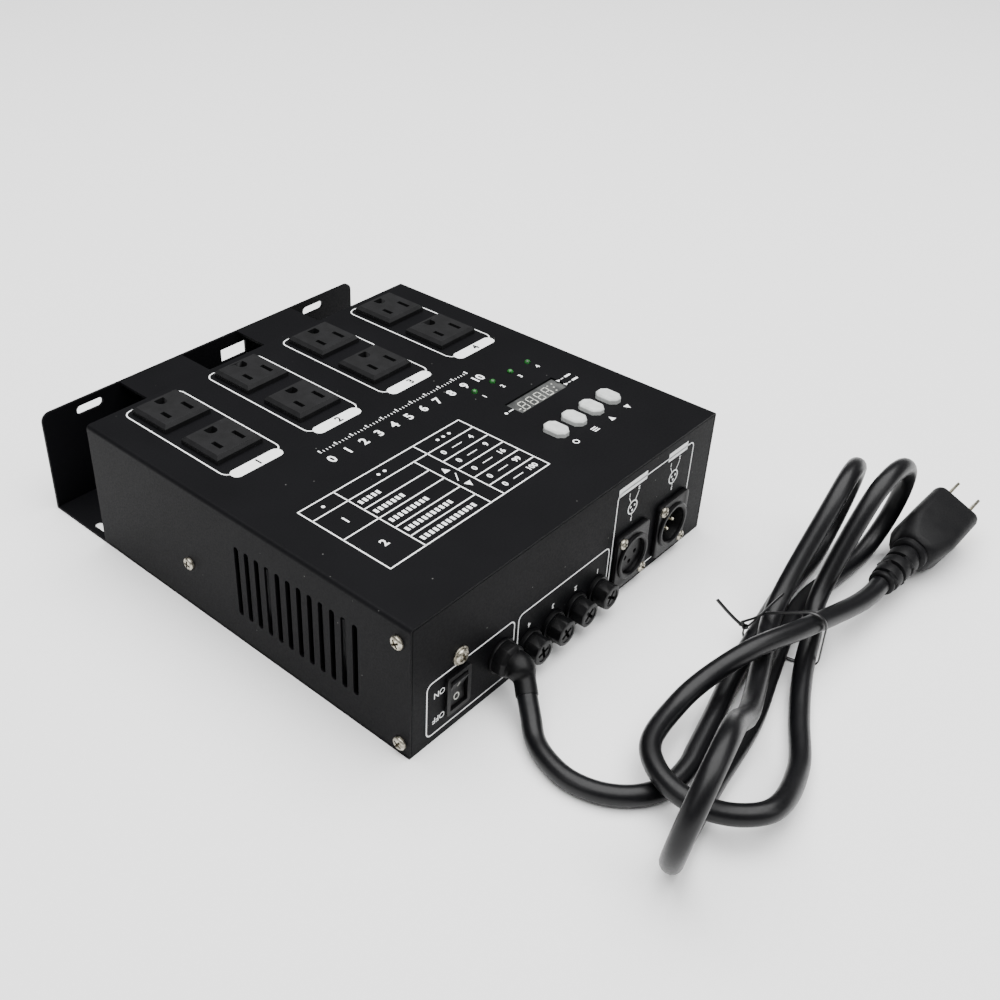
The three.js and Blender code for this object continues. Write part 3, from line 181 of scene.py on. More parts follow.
# Each finish has its name and its shader's own values. broad is the size in millimetres, detail and roughness
# of the noise that its colour follows, and waves the axis and distortion where it follows waves. tone is what
# two_tones takes, and ramp where the two stand. fine is the size, detail, roughness and stretch of the grain,
# spread the roughness that it ranges over, and relief its depth in millimetres and its strength
FINISHES = {
    # Polyester powder coat on steel: fine lumps of about 0.9 mm break the reflections into a satin grain, and
    # a few pale specks of dust lie on it
    "powder_coat": dict(
        name="Satin powder coat", rough=0.5, specular=0.06, broad=(45, 3), tone=("case", "coat", 0.88, 1.12),
        fine=(0.9, 3, 0.6), spread=(0.46, 0.6), relief=(0.03, 0.5), dust="#a8a8a4"),
    # Glass filled nylon, moulded in a spark eroded tool: matt, with a grain drawn at 0.5 mm so that it shows
    "outlet_nylon": dict(
        name="Moulded nylon", rough=0.6, specular=0.14, broad=(6, 4), tone=("case", "outlet", 0.85, 1.25),
        fine=(0.5,), spread=(0.52, 0.68), relief=(0.03, 0.6)),
    # ABS housings of the switch, fuse holders and connectors: smoother than the coat, with a soft shine
    "black_abs": dict(
        name="Black ABS", rough=0.4, specular=0.16, broad=(8,), tone=("#060607", "#0b0b0c"),
        fine=(0.6,), spread=(0.34, 0.48), relief=(0.015, 0.5)),
    # Moulded ABS keys: pale and matt, a little darker where fingers leave grease
    "grey_abs": dict(
        name="Grey ABS", rough=0.5, specular=0.4, broad=(4, 3), tone=("case", "key", 0.86, 1.04),
        fine=(0.5,), spread=(0.42, 0.58), relief=(0.02, 0.5)),
    # Extruded PVC jacket: near black with long soft highlights, and fine ripples along the cord
    "cord_jacket": dict(
        name="PVC jacket", rough=0.36, specular=0.25, broad=(25, 3), tone=("cord", "jacket", 0.8, 1.25),
        fine=(1.1, 4, 0.6), spread=(0.3, 0.42), relief=(0.03, 0.35)),
    # Injection moulded PVC of the plug: duller than the jacket, with a leathery grain
    "plug_pvc": dict(
        name="Moulded PVC", rough=0.5, specular=0.16, broad=(7, 3), tone=("#08080a", "#0e0e0f"),
        fine=(0.7, 3), spread=(0.45, 0.62), relief=(0.04, 0.6)),
    # Steel wire in a PVC sleeve: glossy black with small kinks
    "tie_wire": dict(
        name="Coated tie wire", rough=0.35, specular=0.45, broad=(5,), tone=("#060607", "#0c0c0d"),
        fine=(1.5, 3), spread=(0.28, 0.45), relief=(0.05, 0.5)),
    # Nickel plated steel screws: warm grey metal with uneven stains
    "plated_steel": dict(
        name="Nickel plated steel", rough=0.3, metal=1.0, broad=(1.6, 4), tone=("#827d70", "#c9c4b5"),
        fine=(0.35, 3), spread=(0.22, 0.42), relief=(0.02, 0.5)),
    # Nickel plated brass contacts, drawn: fine scratches along the blades
    "plated_blades": dict(
        name="Nickel plated brass", rough=0.25, metal=1.0, broad=(3, 3), tone=("#b9b39a", "#e3dfd0"),
        fine=(0.4, 4, 0.7, (0.05, 1, 1)), spread=(0.18, 0.34), relief=(0.015, 0.5)),
    # Drawn brass ground pin: yellow, with turning marks across it
    "brass": dict(
        name="Drawn brass", rough=0.28, metal=1.0, broad=(3, 3), tone=("#a8863f", "#d9b76a"),
        fine=(0.5, 3, 0.6, (1, 0.1, 0.1)), spread=(0.2, 0.38), relief=(0.015, 0.5)),
    # Tinted epoxy of an unlit lamp: dark green, with light scattered through it
    "green_lens": dict(
        name="Green epoxy lens", rough=0.24, specular=0.35, broad=(1.5,), tone=("#0d2a10", "#256a2c"),
        more={"Subsurface Weight": 0.3, "Subsurface Radius": (0.4, 1, 0.4), "Subsurface Scale": 0.8 * MM,
              "Coat Weight": 0.1}),
    # Grey filter film behind a clear polycarbonate window: even grey with fine moulding haze and a glossy top
    "display_film": dict(
        name="Grey display film", rough=0.3, broad=(9, 4), tone=("#343535", "#545554"),
        fine=(0.8, 3), spread=(0.22, 0.34), relief=(0.01, 0.4), more={"Coat Weight": 0.3}),
    # Two part pad printing ink: matt white, a little thin in places, so that the coat's grain shows through
    "print_ink": dict(
        name="White pad print", rough=0.55, specular=0.3, broad=(2.2, 5, 0.7),
        tone=("print", "ink", 0.86, 1.0), ramp=(0.25, 0.5), fine=(0.9, 3, 0.6), relief=(0.02, 0.4)),
    # The same ink in black, for the numbers on white ground
    "dark_ink": dict(
        name="Black pad print", rough=0.55, specular=0.3, broad=(2, 4), tone=("#070708", "#111112"),
        fine=(0.9, 3), relief=(0.02, 0.4)),
    # Unlit display segments: milky epoxy that looks pale through the film
    "pale_segments": dict(
        name="Milky segments", rough=0.4, specular=0.4, broad=(1.2, 3), tone=("#9fa09a", "#cfd0c8"),
        fine=(0.5,), relief=(0.01, 0.3)),
    # Glass epoxy board with green solder mask: satin, with copper tracks as slightly lighter bands
    "circuit_board": dict(
        name="Solder mask on glass epoxy", rough=0.35, broad=(28,), waves=("X", 6),
        tone=("#123f24", "#23693d"), ramp=(0.45, 0.6), relief=(0.03, 0.5)),
    # Extruded aluminium, anodised black: drawn lines run up the fins
    "black_anodised": dict(
        name="Black anodised aluminium", rough=0.42, metal=0.6, broad=(12, 3), tone=("#101112", "#1c1d1f"),
        fine=(0.6, 4, 0.7, (1, 1, 0.04)), spread=(0.3, 0.5), relief=(0.02, 0.6)),
    # Stamped silicon steel sheets of 0.5 mm, drawn at 1 mm so that they show, under a brown varnish
    "core_steel": dict(
        name="Varnished core laminations", rough=0.42, metal=0.6, broad=(6.28,), waves=("Y", 0.4),
        tone=("#2e2823", "#6b6055"), ramp=(0.3, 0.7), relief=(0.08, 0.7)),
    # Silicone wire insulation: soft red with a dusty sheen
    "red_insulation": dict(
        name="Silicone insulation", rough=0.5, specular=0.4, broad=(3, 3), tone=("#7d1512", "#a5241c"),
        fine=(0.7,), relief=(0.02, 0.4), more={"Sheen Weight": 0.2}),
    # Borosilicate tube of a fuse: pale grey and glossy
    "fuse_glass": dict(
        name="Fuse glass", rough=0.12, specular=0.6, broad=(4,), tone=("#b9c2c4", "#dfe6e8"),
        fine=(1.2,), relief=(0.01, 0.3)),
    # Seamless background paper: very fine tooth, drawn at 3 mm so that it shows at all
    "floor_paper": dict(
        name="Background paper", rough=0.9, specular=0.1, broad=(3, 3), tone=("stage", "floor", 0.99, 1.0)),
}
MADE = {}


def new_material(name, rough, broad, tone, metal=0.0, specular=0.5, waves=None, ramp=(0.35, 0.65), dust=None,
                 fine=None, spread=None, relief=None, more=None):
    """A material whose colour follows a broad pattern, and its roughness and relief a fine grain."""
    made = bpy.data.materials.new(name)
    made.use_nodes = True
    tree = made.node_tree
    shader = tree.nodes["Principled BSDF"]
    values = {"Roughness": rough, "Metallic": metal, "IOR": 1.5, "Specular IOR Level": specular}
    for socket, value in {**values, **(more or {})}.items():
        shader.inputs[socket].default_value = value
    lumps = pattern(tree, *broad, waves=waves)
    mapped = add(tree, "ValToRGB", {"Fac": lumps})
    for stop, position, tint in zip(mapped.color_ramp.elements, ramp, two_tones(tone)):
        stop.position = position
        stop.color = tint
    shown = mapped.outputs["Color"]
    tree.links.new(specks(tree, shown, dust) if dust else shown, shader.inputs["Base Color"])
    grain = pattern(tree, *fine) if fine else lumps
    if spread:
        feeds = {"Value": grain, "From Min": 0.3, "From Max": 0.7, "To Min": spread[0], "To Max": spread[1]}
        tree.links.new(add(tree, "MapRange", feeds).outputs["Result"], shader.inputs["Roughness"])
    if relief:
        depth, strength = relief
        bump = add(tree, "Bump", {"Height": grain, "Distance": depth * MM, "Strength": strength})
        tree.links.new(bump.outputs["Normal"], shader.inputs["Normal"])
    return made


def material(finish):
    """The material of a finish, made once."""
    if finish not in MADE:
        MADE[finish] = new_material(**FINISHES[finish])
    return MADE[finish]


# Places

def at(x, y, z):
    """A move by millimetres."""
    return Matrix.Translation((x * MM, y * MM, z * MM))


def spun(degrees, axis):
    return Matrix.Rotation(math.radians(degrees), 4, axis)


def facing(x, z, y):
    """A place on the front: X to the right, the turned axis towards the viewer."""
    return at(x, y, z) @ spun(90, "X")


Spot = namedtuple("Spot", "x y z")


def corners(node):
    """A node's lowest and highest corner and its middle, in millimetres."""
    low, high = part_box(node)
    return [Spot(*(value / MM for value in corner)) for corner in (low, high, (low + high) / 2)]


# Mesh helpers

def moved(mesh, matrix):
    bmesh.ops.transform(mesh, matrix=matrix, verts=mesh.verts)
    return mesh


def box_mesh(low, high):
    """A block between two corners."""
    mesh = bmesh.new()
    low, high = (Vector([value * MM for value in corner]) for corner in (low, high))
    bmesh.ops.create_cube(mesh, size=1.0, matrix=Matrix.Translation((low + high) / 2)
                          @ Matrix.Diagonal((*(high - low), 1.0)))
    return mesh


def ease(mesh, width, segments=2, corner=35):
    """Rounds every edge that turns by more than the corner angle."""
    limit = math.radians(corner)
    sharp = [e for e in mesh.edges if len(e.link_faces) == 2 and e.calc_face_angle(0.0) > limit]
    bmesh.ops.bevel(mesh, geom=sharp, offset=width * MM, offset_type="OFFSET", segments=segments,
                    profile=0.5, affect="EDGES", clamp_overlap=True, material=-1)
    return mesh


def merged_copy(node):
    """A CAD node's mesh with its loose triangles merged into flat faces."""
    mesh = bmesh.new()
    mesh.from_mesh(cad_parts[node].data)
    bmesh.ops.remove_doubles(mesh, verts=mesh.verts, dist=0.001 * MM)
    bmesh.ops.dissolve_limit(mesh, angle_limit=math.radians(1), verts=mesh.verts, edges=mesh.edges)
    return mesh


def put(target, source, matrix=None):
    """Adds a copy of one bmesh to another, moved by a matrix, and frees the source."""
    if matrix is not None:
        moved(source, matrix)
    data = bpy.data.meshes.new("part")
    source.to_mesh(data)
    source.free()
    target.from_mesh(data)
    bpy.data.meshes.remove(data)
    return target


def turned(profile, steps=32, matrix=None):
    """A turned piece: pairs of radius and distance along Z, both ends on the axis."""
    mesh = bmesh.new()
    points = [mesh.verts.new((r * MM, 0.0, z * MM)) for r, z in profile]
    edges = [mesh.edges.new(pair) for pair in zip(points, points[1:])]
    bmesh.ops.spin(mesh, geom=points + edges, cent=(0, 0, 0), axis=(0, 0, 1), angle=math.tau, steps=steps,
                   use_merge=True)
    bmesh.ops.remove_doubles(mesh, verts=mesh.verts, dist=0.001 * MM)
    bmesh.ops.recalc_face_normals(mesh, faces=mesh.faces)
    return mesh if matrix is None else moved(mesh, matrix)


def rod(radius, low, high, steps=16, matrix=None):
    return turned([(0, low), (radius, low), (radius, high), (0, high)], steps, matrix)


def quarter_round(radius, height, start, rounds):
    """Points of a dome's edge between its foot and its top, both left out."""
    turns = [math.radians(90) * k / rounds for k in range(1, rounds)]
    return [(radius * math.cos(turn), start + height * math.sin(turn)) for turn in turns]


def domed_rod(radius, long, matrix):
    """A rod from the origin along Z, with a round end."""
    profile = [(0, 0), (radius, 0), (radius, long - radius)]
    return turned(profile + quarter_round(radius, radius, long - radius, 8) + [(0, long)], 28, matrix)


def linked(name, data):
    """A new object in the scene."""
    made = bpy.data.objects.new(name, data)
    bpy.context.scene.collection.objects.link(made)
    return made


def carved(mesh, cutter, operation="DIFFERENCE"):
    """One bmesh cut by another, or joined with it."""
    objects = []
    for source in (mesh, cutter):
        data = bpy.data.meshes.new("work")
        source.to_mesh(data)
        source.free()
        objects.append(linked("work", data))
    body, tool = objects
    step = body.modifiers.new("cut", "BOOLEAN")
    step.object = tool
    step.operation = operation
    step.solver = "EXACT"
    bpy.context.view_layer.update()
    shown = body.evaluated_get(bpy.context.evaluated_depsgraph_get())
    result = bmesh.new()
    result.from_mesh(shown.to_mesh())
    shown.to_mesh_clear()
    for made in objects:
        data = made.data
        bpy.data.objects.remove(made)
        bpy.data.meshes.remove(data)
    return result


def cross(half_long, half_wide, low, high):
    """A cross that stands along Z."""
    arm = box_mesh((-half_long, -half_wide, low), (half_long, half_wide, high))
    return carved(arm, box_mesh((-half_wide, -half_long, low), (half_wide, half_long, high)), "UNION")


def pan_head(width, height):
    """A pan head with a cross recess, standing on the origin along +Z."""
    radius = width / 2
    edge = height * 0.45
    rounds = 5
    profile = [(0, -height * 0.2), (radius, -height * 0.2), (radius, edge)]
    for k in range(1, rounds + 1):
        turn = math.radians(90) * k / rounds
        profile.append((radius * (0.35 + 0.65 * math.cos(turn)), edge + (height - edge) * math.sin(turn)))
    recess = cross(radius * 0.65, radius * 0.16, height * 0.15, height * 1.5)
    return carved(turned(profile + [(0, height)]), recess)


def finished(name, mesh, finish, body="case", smooth=40):
    """Links a finished mesh at the origin, with its material and body."""
    data = bpy.data.meshes.new(name)
    mesh.to_mesh(data)
    mesh.free()
    data.materials.clear()
    data.materials.append(material(finish))
    data.shade_smooth()
    data.set_sharp_from_angle(angle=math.radians(smooth))
    made = linked(name, data)
    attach(made, body)
    return made


def dressed(node, mesh, finish, body="case", smooth=40, weighted=False):
    """A finished mesh that stands for a CAD node."""
    made = finished(f"{node}_dressed", mesh, finish, body, smooth)
    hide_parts(node)
    if weighted:
        made.modifiers.new("normals", "WEIGHTED_NORMAL").keep_sharp = True
    return made


def eased_piece(node, width, finish, body="case", segments=2):
    """A CAD node's shape with eased edges, standing for the node."""
    return dressed(node, ease(merged_copy(node), width, segments), finish, body, weighted=True)


def painted(node, finish):
    """A CAD node that stays as it is, in a finish."""
    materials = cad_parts[node].data.materials
    materials.clear()
    materials.append(material(finish))


# Printing

def flat_slab(mesh, thickness):
    """Gives flat faces in the XY plane a thickness upwards, as a closed solid."""
    made = bmesh.ops.extrude_face_region(mesh, geom=mesh.faces[:] + mesh.edges[:] + mesh.verts[:])
    top = [v for v in made["geom"] if isinstance(v, bmesh.types.BMVert)]
    bmesh.ops.translate(mesh, verts=top, vec=(0, 0, thickness * MM))
    bmesh.ops.recalc_face_normals(mesh, faces=mesh.faces)
    return mesh


def polygon(points):
    mesh = bmesh.new()
    mesh.faces.new([mesh.verts.new((x * MM, y * MM, 0)) for x, y in points])
    return mesh


def rounded_plate(width, depth, corner=0, segments=6):
    """A flat face with round corners, about the origin."""
    mesh = polygon([(x * width / 2, y * depth / 2) for x, y in ((-1, -1), (1, -1), (1, 1), (-1, 1))])
    if corner > 0:
        bmesh.ops.bevel(mesh, geom=mesh.verts[:], offset=corner * MM, offset_type="OFFSET",
                        segments=segments, profile=0.5, affect="VERTICES", clamp_overlap=True, material=-1)
    return mesh


def dot(radius, steps=16):
    mesh = bmesh.new()
    bmesh.ops.create_circle(mesh, cap_ends=True, radius=radius * MM, segments=steps)
    return mesh


def outlined(mesh, line):
    """What is left of a flat face when all but a line along its edge is taken out."""
    bmesh.ops.inset_region(mesh, faces=mesh.faces[:], thickness=line * MM, use_boundary=True,
                           use_even_offset=True)
    inner = max(mesh.faces, key=lambda face: face.calc_area())
    bmesh.ops.delete(mesh, geom=[inner], context="FACES")
    return mesh


def ring_line(radius, line):
    return outlined(dot(radius, 28), line)


def stroke(x0, y0, x1, y1, line):
    """A straight printed line between two points."""
    mesh = rounded_plate(math.hypot(x1 - x0, y1 - y0) + line, line)
    turn = Matrix.Rotation(math.atan2(y1 - y0, x1 - x0), 4, "Z")
    return moved(mesh, at((x0 + x1) / 2, (y0 + y1) / 2, 0) @ turn)


def triangle(side, way=1):
    """A triangle that points up the sheet, or down it where the way is minus one."""
    return polygon([(-side, -0.9 * side * way), (side, -0.9 * side * way), (0, 1.1 * side * way)])


def lettering(text, height, bold=0.035):
    """Flat characters about the origin, thickened by a share of their height, from a text curve."""
    height *= MM
    curve = bpy.data.curves.new("text", "FONT")
    curve.offset = bold * height
    curve.body = text
    curve.align_x = "CENTER"
    curve.align_y = "CENTER"
    # The built in face's capitals are 0.73 of its size
    curve.size = height / 0.73
    curve.resolution_u = 3
    shown = linked("text", curve)
    bpy.context.view_layer.update()
    data = bpy.data.meshes.new_from_object(shown)
    mesh = bmesh.new()
    mesh.from_mesh(data)
    bpy.data.objects.remove(shown)
    bpy.data.curves.remove(curve)
    bpy.data.meshes.remove(data)
    bmesh.ops.remove_doubles(mesh, verts=mesh.verts, dist=0.0005 * MM)
    return mesh


class Sheet:
    """Collects flat prints and lays them on one plane, lifted by a number of ink films."""

    def __init__(self, plane, films=0):
        self.mesh = bmesh.new()
        self.plane = plane
        self.film = chosen("print").thickness / MM
        self.lift = films * self.film

    def lay(self, flat, x=0.0, y=0.0, degrees=0.0):
        put(self.mesh, flat_slab(flat, self.film), self.plane @ at(x, y, self.lift) @ spun(degrees, "Z"))

    def piece(self, name, finish, slot):
        return finished(name, self.mesh, finish, smooth=30)


# Prints count from the case's middle, and those on the front up from the floor
ROOF_PLANE = Matrix.Translation((0, MIDDLE_Y, ROOF))
FRONT_PLANE = Matrix.Translation((0, FRONT, 0)) @ spun(90, "X")


# Stage: floor, light and camera, in metres

CAMERA_PLACE = (-0.3577, -0.35165, 0.3718)
CAMERA_SHIFT = (0.0866, -0.0404)
FLOOR_SIZE = 6.0
WORLD_STRENGTH = 0.2
# Place, aim, size and power of the soft boxes: a broad one overhead, and one beside each side that shows
SOFT_BOXES = (
    ((0.1, -0.1, 2.2), (0, 0, 0.0), 3.0, 190.0),
    ((-1.6, 0.1, 1.2), (0, 0, 0.03), 0.9, 4.0),
    ((0.4, -1.8, 1.1), (0, 0, 0.03), 0.9, 6.0),
)


class DIMMERPACK_OT_stage(bpy.types.Operator):
    """Lays the floor, sets the studio light and puts the camera at the photograph's angle"""

    bl_idname = "dimmer_pack.stage"
    bl_label = "Stage"

    def execute(self, context):
        stage = chosen("stage")
        camera = bpy.data.cameras.new("camera")
        camera.lens = stage.lens
        camera.sensor_width = 36.0
        camera.shift_x, camera.shift_y = CAMERA_SHIFT
        camera.clip_start = 0.01
        holder = linked("camera", camera)
        holder.matrix_world = (Matrix.Translation(CAMERA_PLACE) @ Matrix.Rotation(stage.azimuth, 4, "Z")
                               @ Matrix.Rotation(math.radians(90) - stage.elevation, 4, "X")
                               @ Matrix.Rotation(stage.roll, 4, "Z"))
        context.scene.camera = holder
        self.floor()
        self.lights(context)
        return {"FINISHED"}

    def floor(self):
        mesh = bmesh.new()
        bmesh.ops.create_grid(mesh, x_segments=8, y_segments=8, size=FLOOR_SIZE)
        data = bpy.data.meshes.new("floor")
        mesh.to_mesh(data)
        mesh.free()
        data.materials.append(material("floor_paper"))
        linked("floor", data)

    def lights(self, context):
        world = bpy.data.worlds.new("studio")
        world.use_nodes = True
        background = world.node_tree.nodes["Background"]
        background.inputs["Color"].default_value = linear("#ffffff")
        background.inputs["Strength"].default_value = WORLD_STRENGTH
        context.scene.world = world
        for number, (place, aim, size, power) in enumerate(SOFT_BOXES):
            light = bpy.data.lights.new(f"soft_box_{number + 1}", "AREA")
            light.energy = power
            light.size = size
            made = linked(light.name, light)
            made.location = place
            made.rotation_euler = (Vector(aim) - Vector(place)).to_track_quat("-Z", "Y").to_euler()


# Supply cord: its route in millimetres, X and Y from the case's middle, as in the model's source

SLEEVE_ROUTE = [(-53, -113.5, 19.5), (-53, -116.5, 19.2), (-54.5, -120.5, 16.4), (-58.6, -125.7, 12.6)]
LEAD_ROUTE = [
    (-58.76, -125.9, 12.45), (-63.6, -132.05, 7.97), (-69.3, -138.6, 5), (-74, -147, 4.7),
    (-77.1, -160.9, 4.7), (-74, -174.8, 4.7), (-65.3, -186.2, 4.7), (-52.6, -192.6, 4.7),
    (-38.4, -192.9, 4.7), (-28.8, -190.8, 4.7),
]
FIRST_RUN = [
    (-10.93, -186.74, 4.7), (22, -178.6, 5.2), (45, -174.6, 6.5), (60, -172.1, 6.5), (88.5, -167.2, 4.9),
]
SECOND_RUN = [(59, -175.9, 17), (30, -186.5, 15.8), (-10, -201.5, 21.8)]
THIRD_RUN = [
    (-55, -207.8, 4.8), (-40, -205.2, 4.7), (0, -199.5, 4.8), (30, -191, 5.9), (60, -182.6, 6.5),
    (90, -177.6, 4.9), (113, -179.7, 4.9),
]
FOURTH_RUN = [
    (80.5, -186, 13.5), (64, -193, 8.4), (48, -198.6, 5.4), (30, -206.2, 4.8), (15, -213.5, 4.8),
    (-11, -226.5, 6.8),
]
FIFTH_RUN = [
    (-22, -175.3, 14.6), (-6, -177.5, 18.8), (17, -186.3, 27), (42, -194.3, 26), (70, -199, 20.3),
    (90, -202, 16.8), (100.7, -202.8, 15.8), (109.7, -202.8, 15.8),
]
# Folds: tip, heading and lean in degrees, first and last angle, steps, bend
RIGHT_FOLD = ((147, -165, 32.4), 9, 98, -90, 125, 7, 27.5)
TAIL_FOLD = ((-96, -220.5, 32.4), 193, 82, 122, -90, 7, 27.5)
OUTER_FOLD = ((163, -185, 32.4), 359, 97, -90, 130, 7, 27.5)
OPEN_LOOP = ((-61, -208, 14.3), 187, 0, 60, -66, 5, 29.5)


def placed(point):
    """A place in millimetres from the case's middle, in the frame."""
    x, y, z = point
    return Vector((x * MM, y * MM + MIDDLE_Y, z * MM))


def fold_points(tip, heading, lean, first, last, steps, bend):
    """The points of one fold of the hank, on an arc about its own centre."""
    heading, lean = math.radians(heading), math.radians(lean)
    out = Vector((math.cos(heading), math.sin(heading), 0))
    level = Vector((-math.sin(heading), math.cos(heading), 0))
    across = level * math.cos(lean) + Vector((0, 0, math.sin(lean)))
    centre = Vector(tip) - out * bend
    turns = [math.radians(first + (last - first) * k / steps) for k in range(steps + 1)]
    return [tuple(centre + out * bend * math.cos(turn) + across * bend * math.sin(turn)) for turn in turns]


def cord_route():
    """The whole route's points in the frame, in metres."""
    points = (LEAD_ROUTE + FIRST_RUN + fold_points(*RIGHT_FOLD) + SECOND_RUN + fold_points(*TAIL_FOLD)
              + THIRD_RUN + fold_points(*OUTER_FOLD) + FOURTH_RUN + fold_points(*OPEN_LOOP) + FIFTH_RUN)
    return [placed(p) for p in points]


def smooth_line(points, steps=8):
    """Points along a centripetal curve through the given ones."""
    ends = [2 * points[0] - points[1], *points, 2 * points[-1] - points[-2]]
    line = []
    for a, b, c, d in zip(ends, ends[1:], ends[2:], ends[3:]):
        t1 = max((b - a).length ** 0.5, 1e-6)
        t2 = t1 + max((c - b).length ** 0.5, 1e-6)
        t3 = t2 + max((d - c).length ** 0.5, 1e-6)
        for k in range(steps):
            t = t1 + (t2 - t1) * k / steps
            ab = a + (b - a) * (t / t1)
            bc = b + (c - b) * ((t - t1) / (t2 - t1))
            cd = c + (d - c) * ((t - t2) / (t3 - t2))
            abc = ab + (bc - ab) * (t / t2)
            bcd = bc + (cd - bc) * ((t - t1) / (t3 - t1))
            line.append(abc + (bcd - abc) * ((t - t1) / (t2 - t1)))
    line.append(points[-1])
    return line


def bridged(mesh, loops):
    """Joins rings of vertices in their order, and closes both ends."""
    for first, second in zip(loops, loops[1:]):
        edges = [e for e in mesh.edges if any(all(v in loop for v in e.verts) for loop in (first, second))]
        bmesh.ops.bridge_loops(mesh, edges=edges)
    for end in (loops[0], loops[-1]):
        bmesh.ops.contextual_create(mesh, geom=end)
    bmesh.ops.recalc_face_normals(mesh, faces=mesh.faces)
    return mesh


def swept(line, radii, sides, side=(1, 0, 0), flat=1.0):
    """A closed tube through the line's points, with a radius at each, its section flattened by a share."""
    mesh = bmesh.new()
    side = Vector(side)
    loops = []
    for index, (place, radius) in enumerate(zip(line, radii)):
        before = line[max(index - 1, 0)]
        after = line[min(index + 1, len(line) - 1)]
        along = (after - before).normalized()
        side = (side - along * side.dot(along)).normalized()
        up = along.cross(side)
        turn = Matrix((side, up, along)).transposed().to_4x4() @ Matrix.Diagonal((1, flat, 1, 1))
        ring = bmesh.ops.create_circle(mesh, cap_ends=False, radius=radius * MM, segments=sides,
                                       matrix=Matrix.Translation(place) @ turn)
        loops.append(ring["verts"])
    return bridged(mesh, loops)


def lofted(stations):
    """A closed body through upright sections: place along X, half width, half height, corner and rise."""
    mesh = bmesh.new()
    loops = []
    upright = Matrix(((0, 0, 1), (1, 0, 0), (0, 1, 0))).to_4x4()
    for x, half_y, half_z, corner, rise in stations:
        section = rounded_plate(2 * half_y, 2 * half_z, corner, 5)
        ring = [mesh.verts.new(at(x, 0, rise) @ upright @ v.co) for v in section.faces[:][0].verts]
        section.free()
        for pair in zip(ring, ring[1:] + ring[:1]):
            mesh.edges.new(pair)
        loops.append(ring)
    return bridged(mesh, loops)


class DIMMERPACK_OT_cord(bpy.types.Operator):
    """Lays the supply cord from its gland to its plug, with the sleeve, the plug and the wire tie"""

    bl_idname = "dimmer_pack.cord"
    bl_label = "Supply cord"

    def execute(self, context):
        values = chosen("cord")
        # The jacket runs on into the sleeve
        points = smooth_line([placed(p) for p in SLEEVE_ROUTE], 4)[:-1] + smooth_line(cord_route())
        cord = self.round_curve(points, values)
        with_pieces = [gland_piece(), tie_piece(), *plug_pieces()]
        return {"FINISHED"}

    def round_curve(self, points, values):
        """The jacket along points, as a curve of one open spline."""
        curve = bpy.data.curves.new("supply_cord", "CURVE")
        curve.dimensions = "3D"
        curve.bevel_depth = values.diameter / 2
        curve.bevel_resolution = values.sides
        curve.use_fill_caps = True
        spline = curve.splines.new("POLY")
        spline.points.add(len(points) - 1)
        for point, place in zip(spline.points, points):
            point.co = (*place, 1.0)
        spline.use_smooth = True
        curve.materials.append(material("cord_jacket"))
        made = linked("supply_cord", curve)
        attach(made, "case")
        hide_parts("cord_lead", "cord_hank")
        return made


def gland_piece():
    """The gland: an eight sided head on a round seat, and the tapered sleeve along the cord."""
    x, y, z = SLEEVE_ROUTE[0]
    head, nose, seat = 8.5, 8, 1.6
    body = rod(head, 0, seat, 40)
    facets = turned([(0, 1), (head * 0.97, 1), (head * 0.97, nose - 1.8), (head * 0.8, nose), (0, nose)], 8)
    put(body, facets, spun(22.5, "Z"))
    moved(ease(body, 0.3), facing(x, z, FRONT / MM))
    line = smooth_line([placed(p) for p in SLEEVE_ROUTE], 8)
    wide, narrow = 6.6, 4.9
    radii = []
    for k in range(len(line)):
        share = min(max((k / (len(line) - 1) - 0.45) / 0.3, 0), 1)
        radii.append(wide - (wide - narrow) * share * share * (3 - 2 * share))
    put(body, swept(line, radii, 28))
    return dressed("cord_gland", body, "black_abs", smooth=35)


# Tie: strands that it goes round, as place across it, height and reach, in millimetres
TIE_PLACE = (49.5, -183, 0)
TIE_TURN = spun(-78, "Z")
TIE_STRANDS = [(-9.1, 6.5, 5.3), (-3.5, 16.6, 5.5), (2.5, 6.3, 5.2), (14.3, 6.3, 5.2), (13.2, 24, 6)]
# Its knot's lean in degrees, and the lean and length of its two loose ends
TIE_LEAN = 58
TIE_ENDS = ((55, 18), (-26.6, 29))


def tie_outline(margin):
    """A tight outline round the strands, from the hull of circles round them."""
    mesh = bmesh.new()
    for x, z, reach in TIE_STRANDS:
        bmesh.ops.create_circle(mesh, cap_ends=False, radius=reach + margin, segments=48,
                                matrix=Matrix.Translation((x, z, 0)))
    places = sorted({(round(v.co.x, 3), round(v.co.y, 3)) for v in mesh.verts})
    mesh.free()

    def turn_at(a, b, c):
        return (b[0] - a[0]) * (c[1] - a[1]) - (b[1] - a[1]) * (c[0] - a[0])

    def half(points):
        chain = []
        for p in points:
            while len(chain) > 1 and turn_at(chain[-2], chain[-1], p) <= 0:
                chain.pop()
            chain.append(p)
        return chain[:-1]

    return half(places) + half(places[::-1])


def tie_place(across, height, along):
    """A place on the tie: across it, up, and along the hank, in millimetres."""
    return placed(Vector(TIE_PLACE) + TIE_TURN @ Vector((across, -along, height)))


def leaning(degrees):
    """A direction in the tie's plane, leaning from upright."""
    return Vector((-math.sin(math.radians(degrees)), math.cos(math.radians(degrees))))


